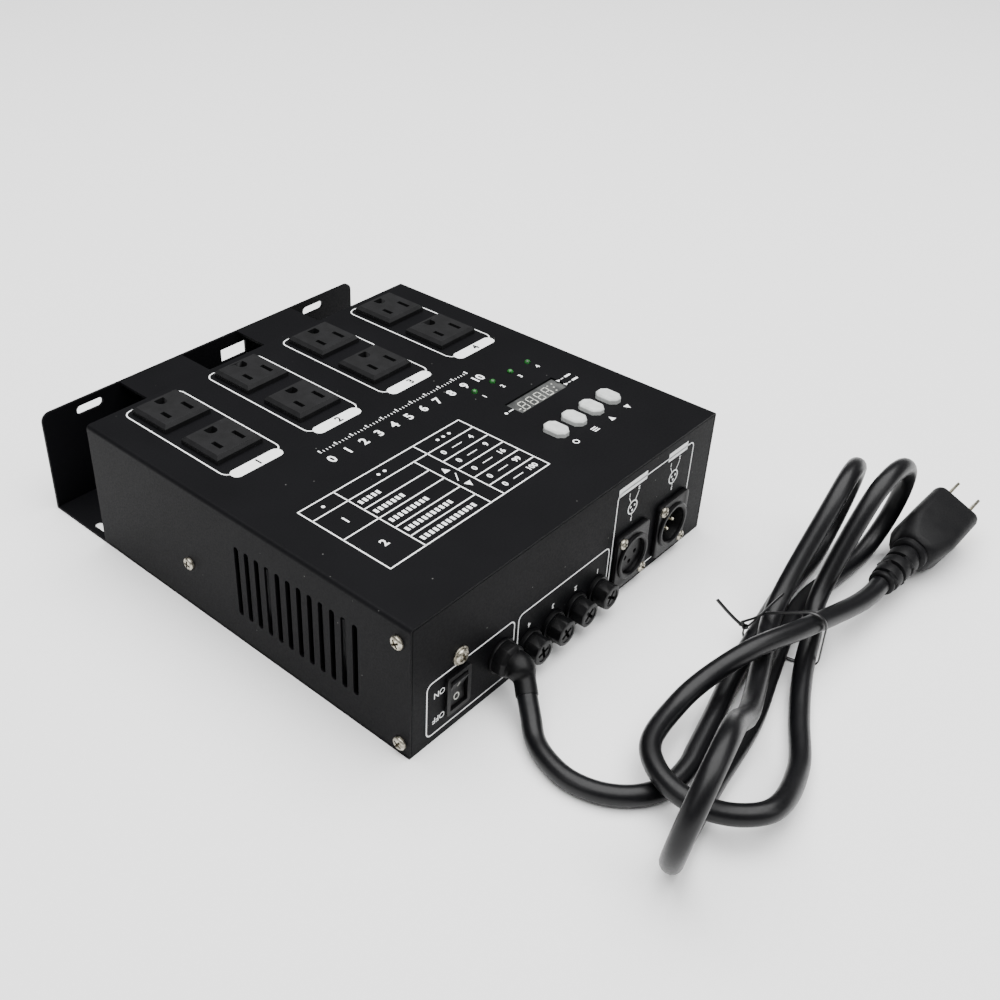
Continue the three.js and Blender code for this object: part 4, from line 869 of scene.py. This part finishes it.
def tie_piece():
    """The flat wire tie: a band round the hank, a twist beside the first strand and two loose ends."""
    outline = tie_outline(0.45)
    across, height, reach = TIE_STRANDS[0]
    out = leaning(TIE_LEAN)
    knot = Vector((across, height)) + out * (reach + 0.6)
    start = min(range(len(outline)), key=lambda k: (Vector(outline[k]) - knot).length)
    loop = outline[start:] + outline[:start + 1]
    width_way = tie_place(0, 0, 1) - tie_place(0, 0, 0)
    band = [tie_place(x, z, -0.5 + k / (len(loop) - 1)) for k, (x, z) in enumerate(loop)]
    mesh = swept(band, [0.95] * len(band), 12, width_way, 0.42)
    twists, steps, long = 1.5, 18, 3.4
    around = Vector((out.y, -out.x))
    for index, (tip_lean, tip_long) in enumerate(TIE_ENDS):
        line = []
        for k in range(steps + 1):
            share = k / steps
            turn = math.tau * twists * share + math.pi * index
            place = knot + out * (long * share - 0.4) + around * 0.7 * math.cos(turn)
            line.append(tie_place(place.x, place.y, 0.7 * math.sin(turn)))
        side = around if index else -around
        for share, bow in ((0.3, 0.9), (0.62, 0.7), (1.0, 0.0)):
            place = knot + leaning(tip_lean) * (tip_long * share) + side * bow
            line.append(tie_place(place.x, place.y, 0.6 * share))
        line = smooth_line(line, 3)
        put(mesh, swept(line, [0.92] * len(line), 12, width_way, 0.5))
    return dressed("cord_tie", mesh, "tie_wire", smooth=50)


# Plug: its own X runs from the cord to the blades
PLUG_PLACE = (110, -202.8, 15.8)
PLUG_ROLL = 23.6
PLUG_FACE = 78
# Sections of the body, which narrows towards the cord and whose face has a soft rim, and of its collar
PLUG_BODY = (
    (33.6, 8.6, 8.2, 7.6, 0), (34.6, 9.8, 9.3, 7.6, -0.1), (37, 10.7, 10.2, 6.6, -0.3),
    (46, 12.7, 11.8, 5.0, -0.6), (50, 13, 12, 4.6, -0.6), (75.6, 13, 12, 4.6, -0.6),
    (77.3, 12.6, 11.6, 4.2, -0.6), (78, 11.6, 10.6, 3.4, -0.6),
)
PLUG_COLLAR = (
    (29.4, 6.4, 6.0, 5.6, 0), (29.9, 8.0, 7.3, 6.6, 0), (30.4, 8.4, 7.7, 7.0, 0), (32.8, 8.4, 7.8, 7.0, 0),
    (33.4, 7.6, 7.0, 6.4, 0), (35, 7.4, 6.8, 6.2, 0),
)
# Relief: start, end and radius of three rings on a core, and place and height of the bridges between them
RELIEF_CORE = 4.9
RELIEF_RINGS = ((4.4, 10.0, 6.55), (12.2, 17.8, 6.95), (20.0, 25.6, 7.3))
RELIEF_BRIDGES = ((3.4, 6.2), (11.1, 6.7), (18.9, 7.1))


def plug_pieces():
    """The moulded plug with its ringed relief, its two blades and its ground pin."""
    place = Matrix.Translation(placed(PLUG_PLACE)) @ spun(PLUG_ROLL, "X")
    along = spun(90, "Y")
    body = put(lofted(PLUG_BODY), lofted(PLUG_COLLAR))
    profile = [(0, 0.3), (5.4, 0.3), (6.1, 0.9), (6.2, 2.4), (RELIEF_CORE, 2.4)]
    for start, end, radius in RELIEF_RINGS:
        profile += [(RELIEF_CORE, start), (radius, start), (radius + 0.25, end), (RELIEF_CORE + 0.3, end)]
    relief = ease(turned(profile + [(5.9, 26.4), (6.1, 31), (0, 31)], 40, along), 0.3, 2, 40)
    # Each bridge is turned by a quarter from the one before
    for k, (middle, tall) in enumerate(RELIEF_BRIDGES):
        bridge = ease(box_mesh((-1.3, -3.2, -tall), (1.3, 3.2, tall)), 0.3)
        put(relief, bridge, at(middle, 0, 0) @ spun(20 + 90 * k, "X"))
    moved(put(body, relief), place)
    made = [dressed("plug_body", body, "plug_pvc", smooth=35)]
    for side, way in (("left", 1), ("right", -1)):
        node = f"plug_blade_{side}"
        hole = rod(1.6, -4, 4, 20, place @ at(PLUG_FACE + 12.3, way * 6.35, 4.4) @ spun(90, "X"))
        blade = ease(carved(merged_copy(node), hole), 0.25)
        made.append(dressed(node, blade, "plated_blades"))
    pin = domed_rod(2.4, 20, place @ at(PLUG_FACE, 0, -7.5) @ along)
    made.append(dressed("plug_ground_pin", pin, "brass"))
    return made


# Case

class DIMMERPACK_OT_case(bpy.types.Operator):
    """Makes the folded cover, the base pan with its hanging plate and the rear panel"""

    bl_idname = "dimmer_pack.case"
    bl_label = "Case"

    def execute(self, context):
        for node in ("top_cover", "base_pan", "rear_panel"):
            eased_piece(node, chosen("case").sheet_ease / MM, "powder_coat")
        return {"FINISHED"}


class DIMMERPACK_OT_screws(bpy.types.Operator):
    """Puts the cover screws and the ground screw in"""

    bl_idname = "dimmer_pack.screws"
    bl_label = "Screws"

    def execute(self, context):
        for side, sign, seat in (("left", -1, COVER_LOW.x / MM), ("right", 1, COVER_HIGH.x / MM)):
            for number in (1, 2, 3):
                node = f"{side}_screw_{number}"
                low, high, middle = corners(node)
                outer = low.x if sign < 0 else high.x
                head = put(pan_head(high.z - low.z, abs(outer - seat)), rod(1.5, -6, 0))
                place = at(seat, middle.y, middle.z)
                moved(head, place @ spun(90 * sign, "Y") @ spun(25 * number + 10, "Z"))
                dressed(node, head, "plated_steel", smooth=30)
        self.ground_screw()
        return {"FINISHED"}

    def ground_screw(self):
        low, high, middle = corners("ground_screw")
        washer = (high.x - low.x) / 2
        thick = 0.8
        mesh = turned([(0, 0), (washer, 0), (washer, thick), (washer * 0.5, thick), (0, thick)], 32)
        ease(mesh, 0.15)
        put(mesh, pan_head(7.4, 2.6), spun(20, "Z"))
        put(mesh, rod(1.8, -10, 0))
        moved(mesh, facing(middle.x, middle.z, FRONT / MM))
        dressed("ground_screw", mesh, "plated_steel", smooth=30)


class DIMMERPACK_OT_outlets(bpy.types.Operator):
    """Makes the eight grounded outlets"""

    bl_idname = "dimmer_pack.outlets"
    bl_label = "Outlets"

    def execute(self, context):
        # The ground opening is a half round whose flat side looks to the rear
        half, flat, steps = 2.8, 2.65, 16
        turns = [math.pi * (1 + k / steps) for k in range(steps + 1)]
        outline = [(half * math.cos(turn), half * math.sin(turn)) for turn in turns]
        outline += [(half, flat), (-half, flat)]
        behind, depth = 7.3, 12
        for node in (f"outlet_{column}{row}" for column in (1, 2, 3, 4) for row in ("a", "b")):
            low, high, middle = corners(node)
            place = at(middle.x, middle.y + behind, high.z - depth)
            cutter = moved(flat_slab(polygon(outline), depth + 1), place)
            mesh = carved(ease(merged_copy(node), chosen("case").plastic_ease / MM), cutter)
            dressed(node, mesh, "outlet_nylon", weighted=True)
        return {"FINISHED"}


class DIMMERPACK_OT_controls(bpy.types.Operator):
    """Makes the lamps, the keys and the display"""

    bl_idname = "dimmer_pack.controls"
    bl_label = "Lamps, keys and display"

    def execute(self, context):
        for number in (1, 2, 3, 4):
            lamp = f"led_{number}"
            low, high, middle = corners(lamp)
            mesh = domed_rod(1.65, high.z - low.z, at(middle.x, middle.y, low.z))
            dressed(lamp, mesh, "green_lens")
            eased_piece(f"button_{number}", 0.35, "grey_abs", f"key_{number}", 3)
        self.display()
        return {"FINISHED"}

    def display(self):
        low, high, middle = corners("display_window")
        half_x, half_y, drop = 18.6, 5.4, 1.0
        glass = box_mesh((middle.x - half_x, middle.y - half_y, low.z),
                         (middle.x + half_x, middle.y + half_y, high.z - drop))
        put(glass, box_mesh(low, (high.x, high.y, low.z + 0.9)))
        dressed("display_window", glass, "display_film")
        sheet = Sheet(at(middle.x, middle.y, high.z - drop))
        for digit in range(4):
            self.digit(sheet, -11.4 + 6.3 * digit, -0.6)
        for x, y in ((11.6, 2.6), (13.2, -0.4), (11.8, -3.2), (14.9, 2.4)):
            sheet.lay(dot(0.5), x, y)
        for x, y in ((-15.6, -1.6), (-15.0, -4.0)):
            sheet.lay(rounded_plate(1.6, 0.7), x, y)
        sheet.piece("display_segments", "pale_segments", "tinted_window")

    def digit(self, sheet, x, y, wide=4.1, tall=7.2, bar=0.5, lean=8):
        """Seven segments with pointed ends, leaning to the right."""
        slope = math.tan(math.radians(lean))
        reach = wide - bar
        for level in (-1, 0, 1):
            height = level * (tall - bar) / 2
            sheet.lay(self.segment(reach * 0.92, bar), x + height * slope, y + height)
        for side in (-1, 1):
            for level in (-1, 1):
                height = level * (tall - bar) / 4
                segment = self.segment((tall / 2 - bar) * 0.98, bar)
                sheet.lay(segment, x + side * reach / 2 + height * slope, y + height, 90 - lean)

    def segment(self, long, bar):
        point = bar / 2
        half = long / 2
        return polygon([(-half, 0), (-half + point, -point), (half - point, -point), (half, 0),
                        (half - point, point), (-half + point, point)])


class DIMMERPACK_OT_switch(bpy.types.Operator):
    """Makes the power switch with the marks on its paddle"""

    bl_idname = "dimmer_pack.switch"
    bl_label = "Power switch"

    def execute(self, context):
        eased_piece("rocker_frame", 0.5, "black_abs", segments=3)
        eased_piece("rocker_paddle", 0.4, "black_abs", "power_switch", 3)
        # The marks lie on the paddle's two front faces, the line on the upper one
        paddle = merged_copy("rocker_paddle")
        fronts = sorted((f for f in paddle.faces if f.normal.y < -0.7), key=lambda f: -f.calc_area())[:2]
        fronts.sort(key=lambda f: -f.calc_center_median().z)
        marks = bmesh.new()
        for face, flat in zip(fronts, (rounded_plate(0.7, 3.4), ring_line(1.8, 0.55))):
            up = face.normal.cross(Vector((1, 0, 0))).normalized()
            turn = Matrix((up.cross(face.normal), up, face.normal)).transposed().to_4x4()
            put(marks, flat_slab(flat, 0.05), Matrix.Translation(face.calc_center_median()) @ turn)
        paddle.free()
        finished("rocker_marks", marks, "pale_segments", "power_switch", smooth=30)
        return {"FINISHED"}


class DIMMERPACK_OT_fuses(bpy.types.Operator):
    """Makes the four fuse holders with their slotted caps and glass fuses"""

    bl_idname = "dimmer_pack.fuses"
    bl_label = "Fuses"

    def execute(self, context):
        for number in (1, 2, 3, 4):
            eased_piece(f"fuse_holder_{number}", 0.3, "black_abs")
            self.cap(number)
            painted(f"fuse_{number}", "fuse_glass")
        return {"FINISHED"}

    def cap(self, number):
        node = f"fuse_cap_{number}"
        low, high, middle = corners(node)
        knob = (high.x - low.x) / 2
        long = 7.2
        seat = low.y + long
        stem, behind = 4.3, high.y - seat
        mesh = turned([
            (0, -behind), (stem, -behind), (stem, 0), (knob * 0.98, 0), (knob, 0.4), (knob, long - 0.8),
            (knob - 0.3, long - 0.25), (knob - 0.9, long), (knob - 1.9, long), (knob - 2.1, long - 0.5),
            (0, long - 0.5),
        ], 48)
        # Finger grips: shallow flats round the knob
        grips = 8
        for k in range(grips):
            cutter = box_mesh((knob - 0.42, -4, 1.2), (knob + 3, 4, long * 1.5))
            mesh = carved(mesh, moved(cutter, spun(360 * k / grips, "Z")))
        mesh = carved(mesh, cross(3.6, 0.8, long - 2.0, long * 1.5))
        moved(mesh, facing(middle.x, middle.z, seat) @ spun(14 * number, "Z"))
        dressed(node, mesh, "black_abs", f"fuse_knob_{number}", 30)


class DIMMERPACK_OT_connectors(bpy.types.Operator):
    """Makes the two control connectors with their screws"""

    bl_idname = "dimmer_pack.connectors"
    bl_label = "Control connectors"

    def execute(self, context):
        self.shell("xlr_out")
        eased_piece("xlr_out_insert", 0.2, "black_abs")
        self.shell("xlr_in")
        self.pins("xlr_in")
        return {"FINISHED"}

    def shell(self, name):
        node = f"{name}_shell"
        low, high, middle = corners(node)
        mesh = merged_copy(node)
        face = FRONT / MM - 2.4
        # Raised ring round the mouth
        mouth = 9.5
        profile = [(mouth, -1), (12, -1), (12, 0.9), (11.4, 1.4), (10.2, 1.4), (mouth, 0.8), (mouth, -1)]
        ring = turned(profile, 56, facing(middle.x, middle.z, face))
        # The screw heads are made apart, so the joined ones go
        screws = bmesh.new()
        for side in (-1, 1):
            place = facing(middle.x + side * 9.5, middle.z - side * 12, face)
            mesh = carved(mesh, rod(3.2, 0, 4, 32, place))
            put(screws, pan_head(5.4, 1.6), place @ spun(30 + 20 * side, "Z"))
        put(ease(mesh, 0.3), ring)
        dressed(node, mesh, "black_abs", smooth=35)
        finished(f"{name}_screws", screws, "plated_steel", smooth=30)

    def pins(self, name):
        node = f"{name}_insert"
        low, high, middle = corners(node)
        radius = (high.x - low.x) / 2
        disc = turned([(0, 0), (radius, 0), (radius, 7.4), (radius - 0.4, 7.7), (0, 7.7)], 40,
                      facing(middle.x, middle.z, high.y))
        dressed(node, disc, "black_abs")
        pins = bmesh.new()
        for x, z in ((-4.05, 0), (4.05, 0), (0, -4.05)):
            put(pins, turned([(0, 7), (1.2, 7), (1.2, 15.4), (0.7, 16.4), (0, 16.6)], 20,
                             facing(middle.x + x, middle.z + z, high.y)))
        finished(f"{name}_pins", pins, "plated_blades")


class DIMMERPACK_OT_inside(bpy.types.Operator):
    """Makes what shows through the vents: boards, heat sink, transformer, display module and wire"""

    bl_idname = "dimmer_pack.inside"
    bl_label = "Inside"

    def execute(self, context):
        eased_piece("power_board", 0.2, "circuit_board")
        eased_piece("control_board", 0.2, "circuit_board")
        eased_piece("heat_sink", 0.3, "black_anodised")
        eased_piece("transformer", 0.4, "core_steel")
        eased_piece("display_module", 0.3, "grey_abs")
        painted("supply_wire", "red_insulation")
        return {"FINISHED"}


# Prints

TABLE_X = (-88.2, -67.0, -24.9, -15.8, 16.6)
TABLE_Y = (-19.4, -28.7, -38.3, -47.4, -56.9, -65.7, -74.7)
# Rules of the table: its first and last column and its row, and its column and top row
TABLE_RULES = (
    (0, 4, 1), (0, 2, 3), (3, 4, 3), (1, 2, 2), (3, 4, 2), (1, 2, 4), (3, 4, 4), (1, 2, 5), (3, 4, 5),
)
TABLE_COLUMNS = ((1, 0), (2, 1), (3, 0))
TABLE_LIMITS = ("4", "9", "16", "99", "100")
# Where the scale starts and ends, and how many numbered and small steps it has
SCALE = (-49, 54)
SCALE_STEPS, SMALL_STEPS = 10, 50


class DIMMERPACK_OT_roof_print(bpy.types.Operator):
    """Prints the outlet frames, the numbers, the scale and the table on the roof"""

    bl_idname = "dimmer_pack.roof_print"
    bl_label = "Roof print"

    def execute(self, context):
        line = chosen("print").line / MM
        # The pills lie over the frames' lines, and their numbers over the pills
        white, pills, dark = (Sheet(ROOF_PLANE, films) for films in (0, 1, 2))
        self.outlet_frames(white, pills, dark, line)
        self.scale(white)
        self.table(white, line)
        self.control_marks(white, line)
        white.piece("roof_print", "print_ink", "powder_coat")
        pills.piece("roof_pills", "print_ink", "powder_coat")
        dark.piece("roof_numbers", "dark_ink", "powder_coat")
        return {"FINISHED"}

    def outlet_frames(self, white, pills, dark, line):
        front, rear, pill = 23.2, 102.0, 22.6
        for column in (1, 2, 3, 4):
            x = corners(f"outlet_{column}a")[2].x
            white.lay(outlined(rounded_plate(34.2, rear - front, 5), line), x, (front + rear) / 2)
            pills.lay(rounded_plate(29.6, 6.8, 3.2, 10), x + 0.2, pill)
            dark.lay(lettering(str(column), 4.4, 0.05), x + 1.4, pill)

    def scale(self, white):
        """A plain scale from nought to ten."""
        first, last = SCALE
        for k in range(SCALE_STEPS + 1):
            x = first + (last - first) * k / SCALE_STEPS
            white.lay(lettering(str(k), 5.4), x, -0.2)
            white.lay(rounded_plate(0.8, 2.6), x, 8.4)
        for k in range(SMALL_STEPS):
            white.lay(rounded_plate(0.4, 1.4), first + (last - first) * k / SMALL_STEPS, 7.8)

    def table(self, white, line):
        xs, ys = TABLE_X, TABLE_Y
        half = line / 2
        frame_plate = rounded_plate(xs[4] - xs[0] + line, ys[0] - ys[6] + line, 0.4)
        white.lay(outlined(frame_plate, line), (xs[0] + xs[4]) / 2, (ys[0] + ys[6]) / 2)
        for first, last, row in TABLE_RULES:
            white.lay(stroke(xs[first] + half, ys[row], xs[last] - half, ys[row], line))
        for column, top in TABLE_COLUMNS:
            white.lay(stroke(xs[column], ys[top] - half, xs[column], ys[6] + half, line))
        # Cells hold plain numbers, dots, and a bar of blocks that grows from row to row
        for text, y in (("1", -38.2), ("2", -61.0)):
            white.lay(lettering(text, 4.4), -77.6, y)
        for column, x in enumerate((-77.6, -41.4, 0.4)):
            for k in range(column + 1):
                white.lay(dot(0.9), x + (k - column / 2) * 4.0, -24.1)
        for row, limit in enumerate(TABLE_LIMITS):
            y = (ys[row + 1] + ys[row + 2]) / 2
            white.lay(lettering("0", 3.2), -9.6, y)
            white.lay(lettering(limit, 3.2), 9.4, y)
            white.lay(stroke(-3.6, y, 2.6, y, 0.5))
            for k in range(5 + 2 * row):
                white.lay(rounded_plate(1.6, 2.8), -64.0 + 2.7 * k, y)
        white.lay(triangle(1.9), -20.4, -43.6)
        white.lay(triangle(1.9, -1), -20.4, -58.4)
        white.lay(stroke(-22.2, -53.2, -18.8, -48.6, 0.5))

    def control_marks(self, white, line):
        for number in (1, 2, 3, 4):
            low, high, middle = corners(f"led_{number}")
            white.lay(lettering(str(number), 2.8), middle.x + 0.4, low.y - MIDDLE_Y / MM - 4.6)
        # Under the keys: a ring, three bars and two triangles
        y = -72.2
        white.lay(ring_line(1.7, 0.55), 40.4, y)
        for k in (-1, 0, 1):
            white.lay(rounded_plate(3.8, 0.6), 55.6, y + 1.3 * k)
        white.lay(triangle(1.7), 69.2, y)
        white.lay(triangle(1.7, -1), 83.9, y + 0.6)
        # Pointers at the window's ends, those at the right each with a dash and a short bar
        low, high, middle = corners("display_window")
        left, right = low.x + 2.4, high.x - 2.4
        y = middle.y - MIDDLE_Y / MM
        white.lay(stroke(left - 3.6, y - 0.2, left - 0.8, y - 0.2, line))
        white.lay(dot(0.9), left - 6.0, y - 0.2)
        side = 1.1
        for place in (y + 0.9, y - 3.9):
            white.lay(polygon([(-side, -side), (side, 0), (-side, side)]), right + 0.2, place)
            white.lay(stroke(right + 2.2, place, right + 3.6, place, 0.5))
            white.lay(rounded_plate(4.6, 1.3, 0.5), right + 7.4, place)


# Left, right, lowest and highest edge of the frames, and left and right end of the bars over the connectors
FRONT_FRAMES = ((-100.2, -43.8, 3.9, 34.0), (-41.6, 26.1, 3.9, 34.0), (27.8, 91.9, 4.6, 61.9))
FRONT_BARS = ((28.4, 51.2), (69.4, 85.8))
# A diagram's pins from its middle, with where each one's line ends and its number
DIAGRAM_PINS = (
    ((-1.6, 0.6), (-3.6, 6.6), "1"), ((1.6, 0.6), (3.8, 7.4), "2"), ((0, -1.7), (0, -5), "3"),
)
UPSIDE_DOWN = 180


class DIMMERPACK_OT_front_print(bpy.types.Operator):
    """Prints the frames, the fuse numbers, the switch words and the pin diagrams on the front"""

    bl_idname = "dimmer_pack.front_print"
    bl_label = "Front print"

    def execute(self, context):
        line = chosen("print").line / MM
        white = Sheet(FRONT_PLANE)
        for left, right, low, high in FRONT_FRAMES:
            frame_plate = rounded_plate(right - left, high - low, 3.4)
            white.lay(outlined(frame_plate, line), (left + right) / 2, (low + high) / 2)
        white.lay(lettering("ON", 3.2, 0.01), -92.3, 25.4, UPSIDE_DOWN)
        white.lay(lettering("OFF", 3.2, 0.01), -92.5, 11.6, UPSIDE_DOWN)
        for number in (1, 2, 3, 4):
            x = corners(f"fuse_cap_{number}")[2].x
            white.lay(lettering(str(5 - number), 2.6), x, 24.2, UPSIDE_DOWN)
        for left, right in FRONT_BARS:
            white.lay(rounded_plate(right - left, 4.6), (left + right) / 2, 61.9)
        for x in (41.5, 76.0):
            self.pin_diagram(white, x, 48.3)
        white.piece("front_print", "print_ink", "powder_coat")
        return {"FINISHED"}

    def pin_diagram(self, white, x, z):
        """A ring with three pins and a line to each pin's number."""
        radius = 3.9
        white.lay(ring_line(radius, 0.7), x, z)
        for (px, pz), (ex, ez), text in DIAGRAM_PINS:
            white.lay(dot(0.65), x + px, z + pz)
            away = Vector((ex, ez)).normalized() * radius
            white.lay(stroke(x + away.x, z + away.y, x + ex, z + ez, 0.4))
            beyond = 1.9 if ez > 0 else -1.7
            white.lay(lettering(text, 2.0), x + ex, z + ez + beyond, UPSIDE_DOWN)


class DIMMERPACK_PT_panel(bpy.types.Panel):
    """Lists the pieces of the dimmer pack"""

    bl_idname = "DIMMERPACK_PT_panel"
    bl_label = "Dimmer pack"
    bl_space_type = "VIEW_3D"
    bl_region_type = "UI"
    bl_category = "Dimmer pack"

    def draw(self, context):
        for operator in OPERATORS:
            self.layout.operator(operator.bl_idname)
        for name in GROUPS:
            group = getattr(context.scene, name)
            for value in group.bl_rna.properties.keys():
                if value not in ("rna_type", "name"):
                    self.layout.prop(group, value)


GROUPS = {
    "dimmer_pack_stage": DimmerPackStage,
    "dimmer_pack_cord": DimmerPackCord,
    "dimmer_pack_case": DimmerPackCase,
    "dimmer_pack_print": DimmerPackPrint,
}
OPERATORS = (
    DIMMERPACK_OT_stage, DIMMERPACK_OT_cord, DIMMERPACK_OT_case, DIMMERPACK_OT_screws, DIMMERPACK_OT_outlets,
    DIMMERPACK_OT_controls, DIMMERPACK_OT_switch, DIMMERPACK_OT_fuses, DIMMERPACK_OT_connectors,
    DIMMERPACK_OT_inside, DIMMERPACK_OT_roof_print, DIMMERPACK_OT_front_print,
)


def register():
    for name, group in GROUPS.items():
        bpy.utils.register_class(group)
        setattr(bpy.types.Scene, name, PointerProperty(type=group))
    for kind in (*OPERATORS, DIMMERPACK_PT_panel):
        bpy.utils.register_class(kind)


def unregister():
    for kind in (DIMMERPACK_PT_panel, *reversed(OPERATORS)):
        bpy.utils.unregister_class(kind)
    for name, group in GROUPS.items():
        delattr(bpy.types.Scene, name)
        bpy.utils.unregister_class(group)


def main():
    register()
    bpy.ops.dimmer_pack.stage()
    bpy.ops.dimmer_pack.cord()
    bpy.ops.dimmer_pack.case()
    bpy.ops.dimmer_pack.screws()
    bpy.ops.dimmer_pack.outlets()
    bpy.ops.dimmer_pack.controls()
    bpy.ops.dimmer_pack.switch()
    bpy.ops.dimmer_pack.fuses()
    bpy.ops.dimmer_pack.connectors()
    bpy.ops.dimmer_pack.inside()
    bpy.ops.dimmer_pack.roof_print()
    bpy.ops.dimmer_pack.front_print()


if __name__ == "__main__":
    main()
